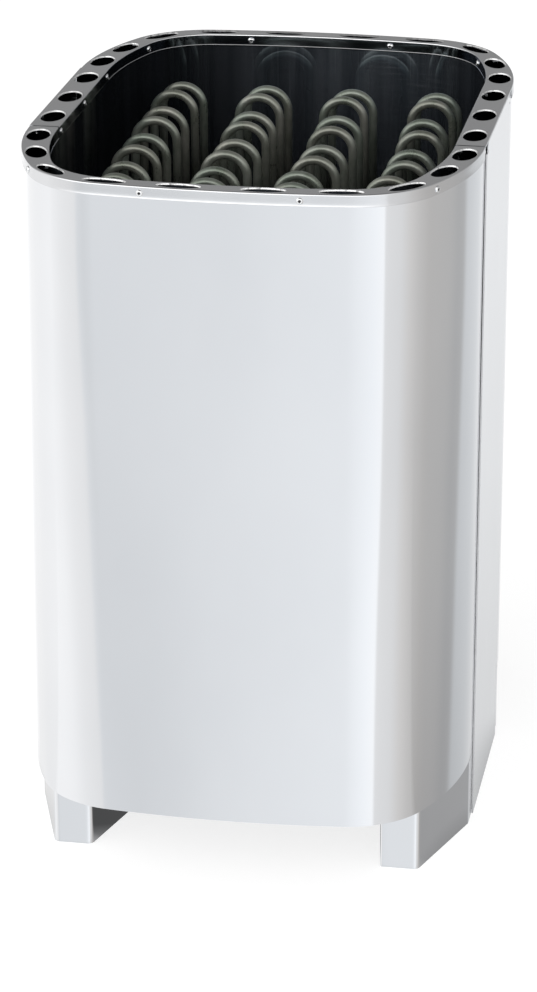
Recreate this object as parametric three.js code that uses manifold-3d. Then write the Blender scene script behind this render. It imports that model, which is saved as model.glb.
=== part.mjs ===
// Floor-standing sauna heater: a sheet-steel casing on folded legs, a slotted rim,
// a stone compartment with sixteen tubular heating elements, and the wiring box below it.
// Millimetres, +Z up, front towards -Y, origin on the floor under the middle of the casing.

import * as THREE from 'three';
import { mergeVertices } from 'three/addons/utils/BufferGeometryUtils.js';
import Module from 'manifold-3d';

const wasm = await Module();
wasm.setup();

// Overall size
const bodyHeight = 680; // floor to the top face of the rim
const halfWidth = 213.5; // middle to the outer face of a side panel
const seamReach = 109; // middle to where the sides pass into the curved ends; the rim's joint
const endReach = 183.5; // seam to the middle of the front or rear edge
const sideArcRadius = 285; // casing plan, from the seam to the corner
const cornerArcRadius = 90; // casing plan, corner
const endArcRadius = 960; // casing plan, bowed front and rear

// Mouth of the stone compartment
const sideBand = 28.5; // width of the rim beside the mouth
const endBand = 19; // width of the rim in front of and behind the mouth
const mouthSideRadius = 336;
const mouthCornerRadius = 71;
const mouthEndRadius = 866;

// Sheets and clearances
const rimSheet = 1.5;
const shellSheet = 1.2;
const frameSheet = 1.5;
const linerSheet = 1.2;
const floorSheet = 2.5;
const boxSheet = 1;
const fitGap = 0.3; // clearance between pieces that fit together
const rimJoint = 2.2; // open joint between the two rim pieces
const overcut = 1; // a cutter passes this far beyond the sheet that it cuts

// Rim
const skirtDrop = 11.5; // rim top to the lower edge of its skirts
const slotLength = 40.5;
const slotMargin = 3; // steel left on each side of a slot
const slotsPerSide = 3;
const endSlotSteps = [30, 58, 61, 62, 68.5]; // along the band from the joint, slot to slot
const sideSkirtMargin = 16; // notch of the panel to the hidden skirt of the rear rim

// Casing and legs
const shellBottom = 68; // floor to the lower edge of the front and rear shells
const panelSetback = 15; // rim joint to the upright edge of a side panel
const seamLap = 9; // shells and legs tucked behind the edge of the side panel
const notchLength = 16; // notch in each upper corner of a side panel
const legReach = 116; // rim joint to the front face of a leg
const legTuck = 24; // panel edge to the fold where a leg starts to slant inwards
const legInset = 37; // side panel face to the outer corner of a leg
const legFace = 36.5; // width of a leg's front face
const legReturn = 83; // length of a leg's inner fold
const leftReturnSplay = THREE.MathUtils.degToRad(15); // inner fold of the left leg, towards the middle
const rightReturnSplay = 0; // inner fold of the right leg, straight back
const legBend = 6.5; // outer radius of the folds of a leg
const slantBend = 10; // radius of the fold where the slant starts
const tabWidth = 23; // upright strip from a leg's face to the bar
const barLift = 80; // floor to the lower edge of the bar between two legs
const barHeight = 30;
const barFlange = 22;

// Stone compartment and heating elements
const compartmentFloor = 190; // floor to the upper face of the compartment floor
const floorLip = 1.5; // compartment floor beyond the liner
const floorTabWidth = 30;
const floorTabMargin = 8; // edge of the shell to a tab that carries the compartment floor
const floorTabDrop = 20;
const rowCount = 4;
const rowMargin = 56; // side of the mouth to the middle of the outer row
const placesPerRow = 4;
const placePitch = 104.5; // front to back
const elementShift = 34; // the rows stand this far behind the middle
const archSpan = 41.5; // leg to leg across an arch
const pairSpan = 38; // first arch to second arch of an element
const tubeDiameter = 8.5;
const archDrop = 34.5; // rim top to the top of the arches
const bendHeight = 10; // compartment floor to the underside of the lower bend
const collarAcross = 16; // corner to corner of the hexagon collar
const collarHeight = 7;
const bushDiameter = 12;
const bushDrop = 15; // collar seat to the lower end of the threaded bush
const pinDiameter = 4;
const pinDrop = 34; // collar seat to the lower end of the terminal pin

// Wiring box under the compartment floor
const boxHeight = 68;
const boxMargin = 14; // element legs to the walls of the box
const boxFlange = 10;
const hatchMargin = 53.75; // side wall of the box to the hatch
const hatchHeight = 36;
const coverLap = 8;
const linkSheet = 1.2;
const linkWidth = 12;
const linkDrop = 25; // collar seat to the upper face of the link plate
const blockSize = new THREE.Vector3(100, 30, 26);
const blockStep = 8; // height of the step on each side of the terminal block
const blockLedge = 8;
const glandBore = 18;
const glandBody = 25;
const glandNut = 33;
const glandLength = 28;
const glandNutLength = 8;
const glandMargin = 21.75; // side wall of the box to the middle of the gland

// Heat shield over the floor of the room
const shieldSheet = 1;
const shieldHalfWidth = 112;

// Rivets
const rivetHead = 6;
const rivetDome = 1.4;
const rivetShank = 3;
const rivetTail = 4.4;
const rivetTailLength = 2.5;
const rivetDrop = 6.4; // rim top to the middle of a rivet
const endRivetReach = 71.5; // middle to the rivets on the bowed edge, across
const outerCornerRivet = 28; // side face to the rivets near the corner, outer skirt
const innerCornerRivet = 18; // side face to the rivets near the corner, inner skirt
const sideRivetMargin = 8; // seam to the outer two of the three rivets beside the mouth

// Roundness of the faceted curves
const sideArcSteps = 4;
const cornerArcSteps = 6;
const endArcSteps = 2;
const archSteps = 6;
const bendSteps = 4;
const foldSteps = 3;
const tubeSides = 8;
const slotSides = 14;
const rivetSides = 8;
const fittingSides = 6; // collars, bushes, pins and the holes for them
const glandSides = 12;

const steel = { color: 0xdadde0, roughness: 0.2, metalness: 1 };
const rimSteel = { color: 0xbcbec1, roughness: 0.2, metalness: 1 };
const darkSteel = { color: 0x17191c, roughness: 0.25, metalness: 0.9 };
const elementSheath = { color: 0x5c6054, roughness: 0.45, metalness: 0.7 };
const zincSteel = { color: 0xb4b8ba, roughness: 0.4, metalness: 1 };
const brass = { color: 0xc0a060, roughness: 0.35, metalness: 1 };
const ceramic = { color: 0xe6e1d4, roughness: 0.6, metalness: 0 };
const blackPlastic = { color: 0x202124, roughness: 0.5, metalness: 0 };

// Derived levels
const rimUnderside = bodyHeight - rimSheet;
const wallTop = rimUnderside - fitGap;
const floorUnderside = compartmentFloor - floorSheet;
const collarSeat = compartmentFloor + fitGap;
const archTop = bodyHeight - archDrop - tubeDiameter / 2; // centre line of the tube
const archSpring = archTop - archSpan / 2;
const bendSpring = compartmentFloor + bendHeight + tubeDiameter / 2 + pairSpan / 2;
const skirtInset = rimSheet + fitGap; // rim edge to the sheet behind its skirt
const halfGap = fitGap / 2;
const halfJoint = rimJoint / 2;
const panelReach = seamReach - panelSetback; // middle to the upright edge of a side panel
const shellEdge = panelReach - seamLap; // middle to the hidden edge of a shell
const barTop = barLift + barHeight;

const casingPlan = {
  halfWidth,
  endReach,
  sideRadius: sideArcRadius,
  cornerRadius: cornerArcRadius,
  endRadius: endArcRadius,
};
const mouthPlan = {
  halfWidth: halfWidth - sideBand,
  endReach: endReach - endBand,
  sideRadius: mouthSideRadius,
  cornerRadius: mouthCornerRadius,
  endRadius: mouthEndRadius,
};
const rowPitch = (2 * (mouthPlan.halfWidth - rowMargin)) / (rowCount - 1);

const heater = new THREE.Group();

// Solids

function solidOf(geometry) {
  const plain = geometry.clone();
  plain.deleteAttribute('normal');
  plain.deleteAttribute('uv');
  const merged = mergeVertices(plain, 1e-4);
  const vertProperties = new Float32Array(merged.attributes.position.array);
  const triVerts = new Uint32Array(merged.index.array);
  return new wasm.Manifold(new wasm.Mesh({ numProp: 3, vertProperties, triVerts }));
}

function geometryOf(solid) {
  const mesh = solid.getMesh();
  const geometry = new THREE.BufferGeometry();
  geometry.setAttribute('position', new THREE.BufferAttribute(mesh.vertProperties, 3));
  geometry.setIndex(new THREE.BufferAttribute(mesh.triVerts, 1));
  geometry.computeVertexNormals();
  return geometry;
}

function addPiece(name, geometry, look, turned = false) {
  const mesh = new THREE.Mesh(geometry, new THREE.MeshStandardMaterial(look));
  mesh.name = name;
  mesh.rotation.z = turned ? Math.PI : 0;
  heater.add(mesh);
  return mesh;
}

function prism(points, low, high) {
  const shape = new THREE.Shape(points);
  const geometry = new THREE.ExtrudeGeometry(shape, { depth: high - low, bevelEnabled: false });
  return geometry.translate(0, 0, low);
}

function block(lowX, highX, lowY, highY, lowZ, highZ) {
  const geometry = new THREE.BoxGeometry(highX - lowX, highY - lowY, highZ - lowZ);
  return geometry.translate((lowX + highX) / 2, (lowY + highY) / 2, (lowZ + highZ) / 2);
}

function upright(radius, x, y, low, high, sides) {
  const geometry = new THREE.CylinderGeometry(radius, radius, high - low, sides);
  geometry.rotateX(Math.PI / 2);
  return geometry.translate(x, y, (low + high) / 2);
}

function joined(geometries) {
  return geometries.map(solidOf).reduce((whole, next) => whole.add(next));
}

function cut(solid, geometries) {
  return geometries.map(solidOf).reduce((whole, tool) => whole.subtract(tool), solid);
}

// Plan outlines

// Three arcs that run into each other, from the right seam to the middle of the front edge.
// The corner's centre lies where it touches both the side arc and the end arc from inside.
function quarterOutline(plan, inset) {
  const sideCentre = new THREE.Vector2(plan.halfWidth - plan.sideRadius, -seamReach);
  const endCentre = new THREE.Vector2(0, plan.endRadius - plan.endReach - seamReach);
  const toSide = plan.sideRadius - plan.cornerRadius;
  const toEnd = plan.endRadius - plan.cornerRadius;
  const apart = sideCentre.distanceTo(endCentre);
  const along = (toSide ** 2 - toEnd ** 2 + apart ** 2) / (2 * apart);
  const aside = Math.sqrt(toSide ** 2 - along ** 2);
  const axis = endCentre.clone().sub(sideCentre).normalize();
  const across = new THREE.Vector2(axis.y, -axis.x);
  const cornerCentre = sideCentre.clone().addScaledVector(axis, along).addScaledVector(across, aside);
  const sideTurn = cornerCentre.clone().sub(sideCentre).angle() - 2 * Math.PI;
  const cornerTurn = cornerCentre.clone().sub(endCentre).angle() - 2 * Math.PI;
  const arcs = [
    [sideCentre, plan.sideRadius, 0, sideTurn, sideArcSteps],
    [cornerCentre, plan.cornerRadius, sideTurn, cornerTurn, cornerArcSteps],
    [endCentre, plan.endRadius, cornerTurn, -Math.PI / 2, endArcSteps],
  ];
  const points = [new THREE.Vector2(plan.halfWidth - inset, -seamReach)];
  for (const [centre, radius, from, to, steps] of arcs) {
    for (let step = 1; step <= steps; step += 1) {
      const turn = from + ((to - from) * step) / steps;
      const direction = new THREE.Vector2(Math.cos(turn), Math.sin(turn));
      points.push(centre.clone().addScaledVector(direction, radius - inset));
    }
  }
  return points;
}

// The whole front end, from the right seam round to the left seam.
function endOutline(plan, inset) {
  const right = quarterOutline(plan, inset);
  const left = right
    .slice(0, -1)
    .reverse()
    .map((point) => new THREE.Vector2(-point.x, point.y));
  return [...right, ...left];
}

// Outline of a sheet that follows the front end, its ends moved along Y by the given lap.
function endSheetOutline(plan, outerInset, sheet, lap) {
  const outer = endOutline(plan, outerInset);
  const inner = endOutline(plan, outerInset + sheet);
  return [...withLap(outer, lap), ...withLap(inner, lap).reverse()];
}

function withLap(points, lap) {
  const ends = [points[0], points[points.length - 1]];
  const [first, last] = ends.map((end) => new THREE.Vector2(end.x, end.y + lap));
  return lap > 0 ? [first, ...points, last] : [first, ...points.slice(1, -1), last];
}

// The facet of the front outline that crosses a place given across, with its outward normal.
function facetAt(points, across) {
  const start = points.findIndex((point, i) => point.x >= across && points[i + 1].x < across);
  const from = points[start];
  const to = points[start + 1];
  const share = (across - from.x) / (to.x - from.x);
  const along = to.clone().sub(from).normalize();
  return { point: from.clone().lerp(to, share), normal: new THREE.Vector2(along.y, -along.x).negate() };
}

// Rim

// Middle of the rim band at a distance from the right seam, with its direction and width.
function bandAt(distance) {
  const outer = quarterOutline(casingPlan, 0);
  const inner = quarterOutline(mouthPlan, 0);
  const middle = outer.map((point, i) => point.clone().lerp(inner[i], 0.5));
  let left = distance;
  let start = 0;
  while (left > middle[start].distanceTo(middle[start + 1]) && start < middle.length - 2) {
    left -= middle[start].distanceTo(middle[start + 1]);
    start += 1;
  }
  const along = middle[start + 1].clone().sub(middle[start]);
  const share = left / along.length();
  const outerPoint = outer[start].clone().lerp(outer[start + 1], share);
  const innerPoint = inner[start].clone().lerp(inner[start + 1], share);
  return {
    point: middle[start].clone().lerp(middle[start + 1], share),
    turn: along.angle(),
    width: outerPoint.distanceTo(innerPoint),
  };
}

function slotCutter(x, y, turn, width) {
  const oval = new THREE.EllipseCurve(x, y, slotLength / 2, width / 2, 0, 2 * Math.PI, false, turn);
  return prism(oval.getPoints(slotSides).slice(0, -1), rimUnderside - overcut, bodyHeight + overcut);
}

function endSlots() {
  const cutters = [];
  let distance = 0;
  for (const step of endSlotSteps) {
    distance += step;
    const { point, turn, width } = bandAt(distance);
    const slotWidth = width - 2 * slotMargin;
    cutters.push(slotCutter(point.x, point.y, turn, slotWidth));
    cutters.push(slotCutter(-point.x, point.y, Math.PI - turn, slotWidth));
  }
  return cutters;
}

// Plate and skirts round one end; the plate and the inner skirt run on along both sides.
function endRim(sideRun) {
  const band = [
    ...withLap(endOutline(casingPlan, 0), sideRun),
    ...withLap(endOutline(mouthPlan, 0), sideRun).reverse(),
  ];
  const skirtLow = bodyHeight - skirtDrop;
  const plate = prism(band, rimUnderside, bodyHeight);
  const outerSkirt = prism(endSheetOutline(casingPlan, 0, rimSheet, -halfJoint), skirtLow, bodyHeight);
  const innerSkirt = prism(endSheetOutline(mouthPlan, -rimSheet, rimSheet, sideRun), skirtLow, bodyHeight);
  const holes = [...rivetHoles(outerRivetSeats()), ...rivetHoles(innerRivetSeats())];
  return cut(joined([plate, outerSkirt, innerSkirt]), [...endSlots(), ...holes]);
}

function frontRim() {
  return geometryOf(endRim(-halfJoint));
}

// One piece round the rear and both sides, with a hidden skirt behind each side panel.
function rearRim() {
  const skirtLow = bodyHeight - skirtDrop;
  const hiddenFace = halfWidth - frameSheet - fitGap;
  const hiddenHalf = panelReach - notchLength - sideSkirtMargin;
  const slotPitch = (2 * seamReach) / slotsPerSide;
  const skirts = [];
  const cutters = [];
  for (const side of [-1, 1]) {
    const [low, high] = [side * hiddenFace, side * (hiddenFace - rimSheet)].sort((a, b) => a - b);
    skirts.push(block(low, high, -hiddenHalf, hiddenHalf, skirtLow, bodyHeight));
    for (let slot = 0; slot < slotsPerSide; slot += 1) {
      const y = (slot - (slotsPerSide - 1) / 2) * slotPitch;
      const x = side * (halfWidth - sideBand / 2);
      cutters.push(slotCutter(x, y, Math.PI / 2, sideBand - 2 * slotMargin));
    }
    cutters.push(...rivetHoles(sideRivetSeats(side)));
  }
  const whole = endRim(2 * seamReach - halfJoint).add(joined(skirts));
  return geometryOf(cut(whole, cutters));
}

// Rivets

function outerRivetSeats() {
  const skirt = endOutline(casingPlan, 0);
  const corner = casingPlan.halfWidth - outerCornerRivet;
  return [corner, endRivetReach, -endRivetReach, -corner].map((x) => facetAt(skirt, x));
}

function innerRivetSeats() {
  const skirt = endOutline(mouthPlan, 0);
  const corner = mouthPlan.halfWidth - innerCornerRivet;
  return [corner, endRivetReach, -endRivetReach, -corner]
    .map((x) => facetAt(skirt, x))
    .map(({ point, normal }) => ({ point, normal: normal.negate() }));
}

function sideRivetSeats(side = 1) {
  const reach = seamReach - sideRivetMargin;
  return [-reach, 0, reach].map((y) => ({
    point: new THREE.Vector2(side * mouthPlan.halfWidth, y),
    normal: new THREE.Vector2(-side, 0),
  }));
}

// Turns a shape made along +Z so that it points along a seat's normal and stands on the seat.
function atSeat(geometry, seat) {
  geometry.rotateX(Math.PI / 2);
  geometry.rotateZ(seat.normal.angle() + Math.PI / 2);
  return geometry.translate(seat.point.x, seat.point.y, bodyHeight - rivetDrop);
}

function rivetHoles(seats) {
  const radius = rivetShank / 2 + fitGap;
  const length = 2 * (rimSheet + shellSheet + linerSheet + rivetTailLength);
  return seats.map((seat) => atSeat(upright(radius, 0, 0, -length / 2, length / 2, rivetSides), seat));
}

function rivet(sheetBehind) {
  const grip = rimSheet + fitGap + sheetBehind + fitGap;
  const head = rivetHead / 2;
  const profile = [
    [0, -grip - rivetTailLength],
    [rivetTail / 2, -grip - rivetTailLength],
    [rivetTail / 2, -grip],
    [rivetShank / 2, -grip],
    [rivetShank / 2, fitGap],
    [head, fitGap],
    [head * Math.SQRT1_2, rivetDome * Math.SQRT1_2 + fitGap],
    [0, rivetDome + fitGap],
  ].map(([x, y]) => new THREE.Vector2(x, y));
  return new THREE.LatheGeometry(profile, rivetSides).rotateX(Math.PI / 2);
}

function addRivets(name, seats, sheetBehind, turned = false) {
  seats.forEach((seat, i) => {
    const geometry = geometryOf(solidOf(atSeat(rivet(sheetBehind), seat)));
    addPiece(`rivet_${name}_${i + 1}`, geometry, steel, turned);
  });
}

// Casing

function endShell() {
  const outline = endSheetOutline(casingPlan, skirtInset, shellSheet, seamReach - shellEdge);
  const shell = solidOf(prism(outline, shellBottom, wallTop));
  return geometryOf(cut(shell, rivetHoles(outerRivetSeats())));
}

// Rounds each inner corner of a path with an arc of the radius given for that corner.
function foldedPath(corners, radii) {
  const points = [corners[0]];
  for (let i = 1; i < corners.length - 1; i += 1) {
    const back = corners[i - 1].clone().sub(corners[i]).normalize();
    const on = corners[i + 1].clone().sub(corners[i]).normalize();
    const half = Math.acos(THREE.MathUtils.clamp(back.dot(on), -1, 1)) / 2;
    const toCentre = back.clone().add(on).normalize();
    const centre = corners[i].clone().addScaledVector(toCentre, radii[i - 1] / Math.sin(half));
    const start = corners[i].clone().addScaledVector(back, radii[i - 1] / Math.tan(half)).sub(centre);
    const end = corners[i].clone().addScaledVector(on, radii[i - 1] / Math.tan(half)).sub(centre);
    const sweep = Math.atan2(start.cross(end), start.dot(end));
    for (let step = 0; step <= foldSteps; step += 1) {
      const turned = start.clone().rotateAround(new THREE.Vector2(), (sweep * step) / foldSteps);
      points.push(turned.add(centre));
    }
  }
  return [...points, corners[corners.length - 1]];
}

// Outline of a folded sheet: its outer face and, one sheet to the left of it, its inner face.
function foldedSheet(path, sheet) {
  const inner = path.map((point, i) => {
    const before = path[Math.max(i - 1, 0)];
    const after = path[Math.min(i + 1, path.length - 1)];
    const arrive = point.clone().sub(i > 0 ? before : point.clone().multiplyScalar(2).sub(after)).normalize();
    const leave = (i < path.length - 1 ? after.clone().sub(point) : arrive.clone()).normalize();
    const mitre = arrive.clone().add(leave).normalize();
    const left = new THREE.Vector2(-mitre.y, mitre.x);
    return point.clone().addScaledVector(left, sheet / mitre.dot(arrive));
  });
  return [...path, ...inner.reverse()];
}

// Stands on the floor, with its upper corners notched beside the skirts of the end rims.
function sidePanel() {
  const panel = block(halfWidth - frameSheet, halfWidth, -panelReach, panelReach, 0, wallTop);
  const notches = [-1, 1].map((side) => {
    const middle = side * (panelReach - (notchLength - overcut) / 2);
    const half = (notchLength + overcut) / 2;
    const low = halfWidth - frameSheet - overcut;
    return block(low, halfWidth + overcut, middle - half, middle + half, bodyHeight - skirtDrop, bodyHeight);
  });
  return geometryOf(cut(solidOf(panel), notches));
}

// Plan of a right leg: inner fold, front face, slant, and the edge tucked behind the panel.
function legPath(splay) {
  const faceY = -seamReach - legReach;
  const outerX = halfWidth - legInset;
  const innerX = outerX - legFace;
  const tuckX = halfWidth - frameSheet - fitGap;
  const backX = innerX - legReturn * Math.sin(splay);
  const backY = faceY + legReturn * Math.cos(splay);
  return [
    new THREE.Vector2(backX, backY),
    new THREE.Vector2(innerX, faceY),
    new THREE.Vector2(outerX, faceY),
    new THREE.Vector2(tuckX, -panelReach - legTuck),
    new THREE.Vector2(tuckX, -shellEdge),
  ];
}

// Two legs and the flanged bar between them, folded from one sheet.
function legFrame() {
  const bends = [legBend, legBend, slantBend];
  const [right, leftMirrored] = [rightReturnSplay, leftReturnSplay].map((splay) => {
    return foldedSheet(foldedPath(legPath(splay), bends), frameSheet);
  });
  const left = leftMirrored.map((point) => new THREE.Vector2(-point.x, point.y)).reverse();
  const legTop = shellBottom - fitGap;
  const face = -seamReach - legReach;
  const tabMiddle = halfWidth - legInset - legFace / 2;
  const halfLength = tabMiddle + tabWidth / 2;
  const bar = block(-halfLength, halfLength, face, face + frameSheet, barLift, barTop);
  const flange = block(-halfLength, halfLength, face, face + barFlange, barTop - frameSheet, barTop);
  const tabs = [-tabMiddle, tabMiddle].map((x) => {
    return block(x - tabWidth / 2, x + tabWidth / 2, face, face + frameSheet, legTop - frameSheet, barTop);
  });
  return geometryOf(joined([prism(right, 0, legTop), prism(left, 0, legTop), bar, flange, ...tabs]));
}

function floorHeatShield() {
  const reach = seamReach + legReach - frameSheet - fitGap;
  const low = barTop + fitGap;
  return block(-shieldHalfWidth, shieldHalfWidth, -reach, reach, low, low + shieldSheet);
}

// Stone compartment

function endLiner() {
  const outline = endSheetOutline(mouthPlan, -skirtInset - linerSheet, linerSheet, -halfGap);
  const wall = solidOf(prism(outline, collarSeat, wallTop));
  return geometryOf(cut(wall, rivetHoles(innerRivetSeats())));
}

function sideLiner() {
  const face = mouthPlan.halfWidth + skirtInset;
  const halfLength = seamReach - halfGap;
  const wall = solidOf(block(face, face + linerSheet, -halfLength, halfLength, collarSeat, wallTop));
  return geometryOf(cut(wall, rivetHoles(sideRivetSeats())));
}

function elementPlaces() {
  const places = [];
  for (let row = 0; row < rowCount; row += 1) {
    for (let place = 0; place < placesPerRow; place += 1) {
      const x = (row - (rowCount - 1) / 2) * rowPitch;
      const y = (place - (placesPerRow - 1) / 2) * placePitch + elementShift;
      places.push({ x, y, name: `heating_element_row${row + 1}_${place + 1}` });
    }
  }
  return places;
}

function terminalsOf({ x, y }) {
  return [-1, 1].map((side) => new THREE.Vector2(x - archSpan / 2, y + (side * pairSpan) / 2));
}

function compartmentFloorPlate() {
  const outset = -skirtInset - linerSheet - floorLip;
  const front = endOutline(mouthPlan, outset);
  const rear = front.map((point) => new THREE.Vector2(-point.x, -point.y));
  const plate = prism([...front, ...rear], floorUnderside, compartmentFloor);
  const edge = mouthPlan.halfWidth - outset;
  const tabEnd = halfWidth - frameSheet - fitGap;
  const tabMiddle = shellEdge - floorTabMargin - floorTabWidth / 2;
  const tabs = [];
  for (const side of [-1, 1]) {
    for (const y of [-tabMiddle, tabMiddle]) {
      const low = y - floorTabWidth / 2;
      const high = y + floorTabWidth / 2;
      const [armLow, armHigh] = [side * (edge - floorLip), side * tabEnd].sort((a, b) => a - b);
      const [footLow, footHigh] = [side * (tabEnd - floorSheet), side * tabEnd].sort((a, b) => a - b);
      tabs.push(block(armLow, armHigh, low, high, floorUnderside, compartmentFloor));
      tabs.push(block(footLow, footHigh, low, high, floorUnderside - floorTabDrop, compartmentFloor));
    }
  }
  const radius = bushDiameter / 2 + fitGap;
  const holeLow = floorUnderside - overcut;
  const holeHigh = compartmentFloor + overcut;
  const holes = elementPlaces()
    .flatMap(terminalsOf)
    .map(({ x, y }) => upright(radius, x, y, holeLow, holeHigh, fittingSides));
  return geometryOf(cut(joined([plate, ...tabs]), holes));
}

// A path that gives back chosen stations, so that a tube has rings only where it needs them.
class StationPath extends THREE.Curve {
  constructor(stations) {
    super();
    this.stations = stations;
  }

  getPointAt(share) {
    const index = Math.round(share * (this.stations.length - 1));
    return this.stations[index].point.clone();
  }

  getTangentAt(share) {
    const index = Math.round(share * (this.stations.length - 1));
    return this.stations[index].along.clone();
  }
}

// Half circle from one leg to the next, in the upright plane that holds both.
function halfTurn(from, to, level, lift, steps) {
  const centre = from.clone().lerp(to, 0.5);
  const reach = from.distanceTo(to) / 2;
  const across = to.clone().sub(from).normalize();
  const stations = [];
  for (let step = 0; step <= steps; step += 1) {
    const turn = (Math.PI * step) / steps;
    const flat = centre.clone().addScaledVector(across, -reach * Math.cos(turn));
    const ahead = across.clone().multiplyScalar(Math.sin(turn));
    stations.push({
      point: new THREE.Vector3(flat.x, flat.y, level + lift * reach * Math.sin(turn)),
      along: new THREE.Vector3(ahead.x, ahead.y, lift * Math.cos(turn)),
    });
  }
  return stations;
}

function elementTube(place) {
  const [start, end] = terminalsOf(place);
  const startFar = new THREE.Vector2(start.x + archSpan, start.y);
  const endFar = new THREE.Vector2(end.x + archSpan, end.y);
  const low = collarSeat - bushDrop;
  const up = new THREE.Vector3(0, 0, 1);
  const stations = [
    { point: new THREE.Vector3(start.x, start.y, low), along: up },
    ...halfTurn(start, startFar, archSpring, 1, archSteps),
    ...halfTurn(startFar, endFar, bendSpring, -1, bendSteps),
    ...halfTurn(endFar, end, archSpring, 1, archSteps),
    { point: new THREE.Vector3(end.x, end.y, low), along: up.clone().negate() },
  ];
  const section = new THREE.EllipseCurve(0, 0, tubeDiameter / 2, tubeDiameter / 2);
  const shape = new THREE.Shape(section.getPoints(tubeSides).slice(0, -1));
  const extrudePath = new StationPath(stations);
  return new THREE.ExtrudeGeometry(shape, { steps: stations.length - 1, extrudePath, bevelEnabled: false });
}

function heatingElement(place) {
  const fittings = terminalsOf(place).flatMap(({ x, y }) => [
    upright(collarAcross / 2, x, y, collarSeat, collarSeat + collarHeight, fittingSides),
    upright(bushDiameter / 2, x, y, collarSeat - bushDrop, collarSeat + collarHeight / 2, fittingSides),
    upright(pinDiameter / 2, x, y, collarSeat - pinDrop, collarSeat, fittingSides),
  ]);
  return geometryOf(joined([elementTube(place), ...fittings]));
}

// Wiring box

function elementSpan() {
  const middles = elementPlaces().map(({ x, y }) => new THREE.Vector2(x, y));
  const legs = new THREE.Vector2(archSpan / 2, pairSpan / 2);
  return new THREE.Box2().setFromPoints(middles).expandByVector(legs).expandByScalar(boxMargin);
}

const boxTop = floorUnderside - fitGap;
const boxBottom = boxTop - boxHeight;
const boxSpan = elementSpan();
const boxMiddle = boxSpan.getCenter(new THREE.Vector2());
const hatchMiddle = boxBottom + boxHeight / 2;
const hatchWidth = boxSpan.max.x - boxSpan.min.x - 2 * hatchMargin;
const glandX = boxSpan.max.x - glandMargin;

function wiringBox() {
  const { min, max } = boxSpan;
  const outer = block(min.x, max.x, min.y, max.y, boxBottom, boxTop);
  const flange = block(
    min.x - boxFlange,
    max.x + boxFlange,
    min.y - boxFlange,
    max.y + boxFlange,
    boxTop - boxSheet,
    boxTop,
  );
  const hollow = block(
    min.x + boxSheet,
    max.x - boxSheet,
    min.y + boxSheet,
    max.y - boxSheet,
    boxBottom + boxSheet,
    boxTop + overcut,
  );
  const hatch = block(
    boxMiddle.x - hatchWidth / 2,
    boxMiddle.x + hatchWidth / 2,
    max.y - 2 * boxSheet,
    max.y + boxSheet,
    hatchMiddle - hatchHeight / 2,
    hatchMiddle + hatchHeight / 2,
  );
  const inlet = alongY(glandBody / 2 + fitGap, glandX, max.y - 2 * boxSheet, max.y + boxSheet);
  return geometryOf(cut(joined([outer, flange]), [hollow, hatch, inlet]));
}

function alongY(radius, x, lowY, highY, sides = glandSides) {
  const geometry = new THREE.CylinderGeometry(radius, radius, highY - lowY, sides);
  return geometry.translate(x, (lowY + highY) / 2, hatchMiddle);
}

function wiringBoxCover() {
  const low = boxSpan.max.y + fitGap;
  return block(
    boxMiddle.x - hatchWidth / 2 - coverLap,
    boxMiddle.x + hatchWidth / 2 + coverLap,
    low,
    low + boxSheet,
    hatchMiddle - hatchHeight / 2 - coverLap,
    hatchMiddle + hatchHeight / 2 + coverLap,
  );
}

function cableGland() {
  const wall = boxSpan.max.y;
  const inner = wall - boxSheet - fitGap;
  const outerNut = alongY(glandNut / 2, glandX, wall + fitGap, wall + fitGap + glandNutLength, fittingSides);
  const innerNut = alongY(glandNut / 2, glandX, inner - glandNutLength, inner, fittingSides);
  const body = alongY(glandBody / 2, glandX, inner - glandNutLength, inner - glandNutLength + glandLength);
  const bore = alongY(glandBore / 2, glandX, inner - glandLength, inner + 2 * glandLength);
  return geometryOf(cut(joined([outerNut, innerNut, body]), [bore]));
}

function terminalBlock() {
  const low = boxBottom + boxSheet + fitGap;
  const x = boxMiddle.x;
  const y = boxSpan.max.y - boxSheet - blockSize.y;
  const base = block(
    x - blockSize.x / 2,
    x + blockSize.x / 2,
    y - blockSize.y / 2,
    y + blockSize.y / 2,
    low,
    low + blockSize.z - blockStep,
  );
  const ridge = block(
    x - blockSize.x / 2,
    x + blockSize.x / 2,
    y - blockSize.y / 2 + blockLedge,
    y + blockSize.y / 2 - blockLedge,
    low,
    low + blockSize.z,
  );
  return geometryOf(joined([base, ridge]));
}

// Cross bars under the first terminal of each element, joined by a spine along the box.
function neutralLinkPlate() {
  const high = collarSeat - linkDrop;
  const low = high - linkSheet;
  const pins = elementPlaces().map((place) => terminalsOf(place)[0]);
  const span = new THREE.Box2().setFromPoints(pins);
  const half = linkWidth / 2;
  const levels = [...new Set(pins.map((pin) => pin.y))];
  const bars = levels.map((y) => block(span.min.x - half, span.max.x + half, y - half, y + half, low, high));
  const spineX = (span.min.x + span.max.x) / 2;
  const spine = block(spineX - half, spineX + half, span.min.y - half, span.max.y + half, low, high);
  const radius = pinDiameter / 2 + fitGap;
  const holes = pins.map(({ x, y }) => upright(radius, x, y, low - overcut, high + overcut, fittingSides));
  return geometryOf(cut(joined([...bars, spine]), holes));
}

// Assembly

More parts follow.
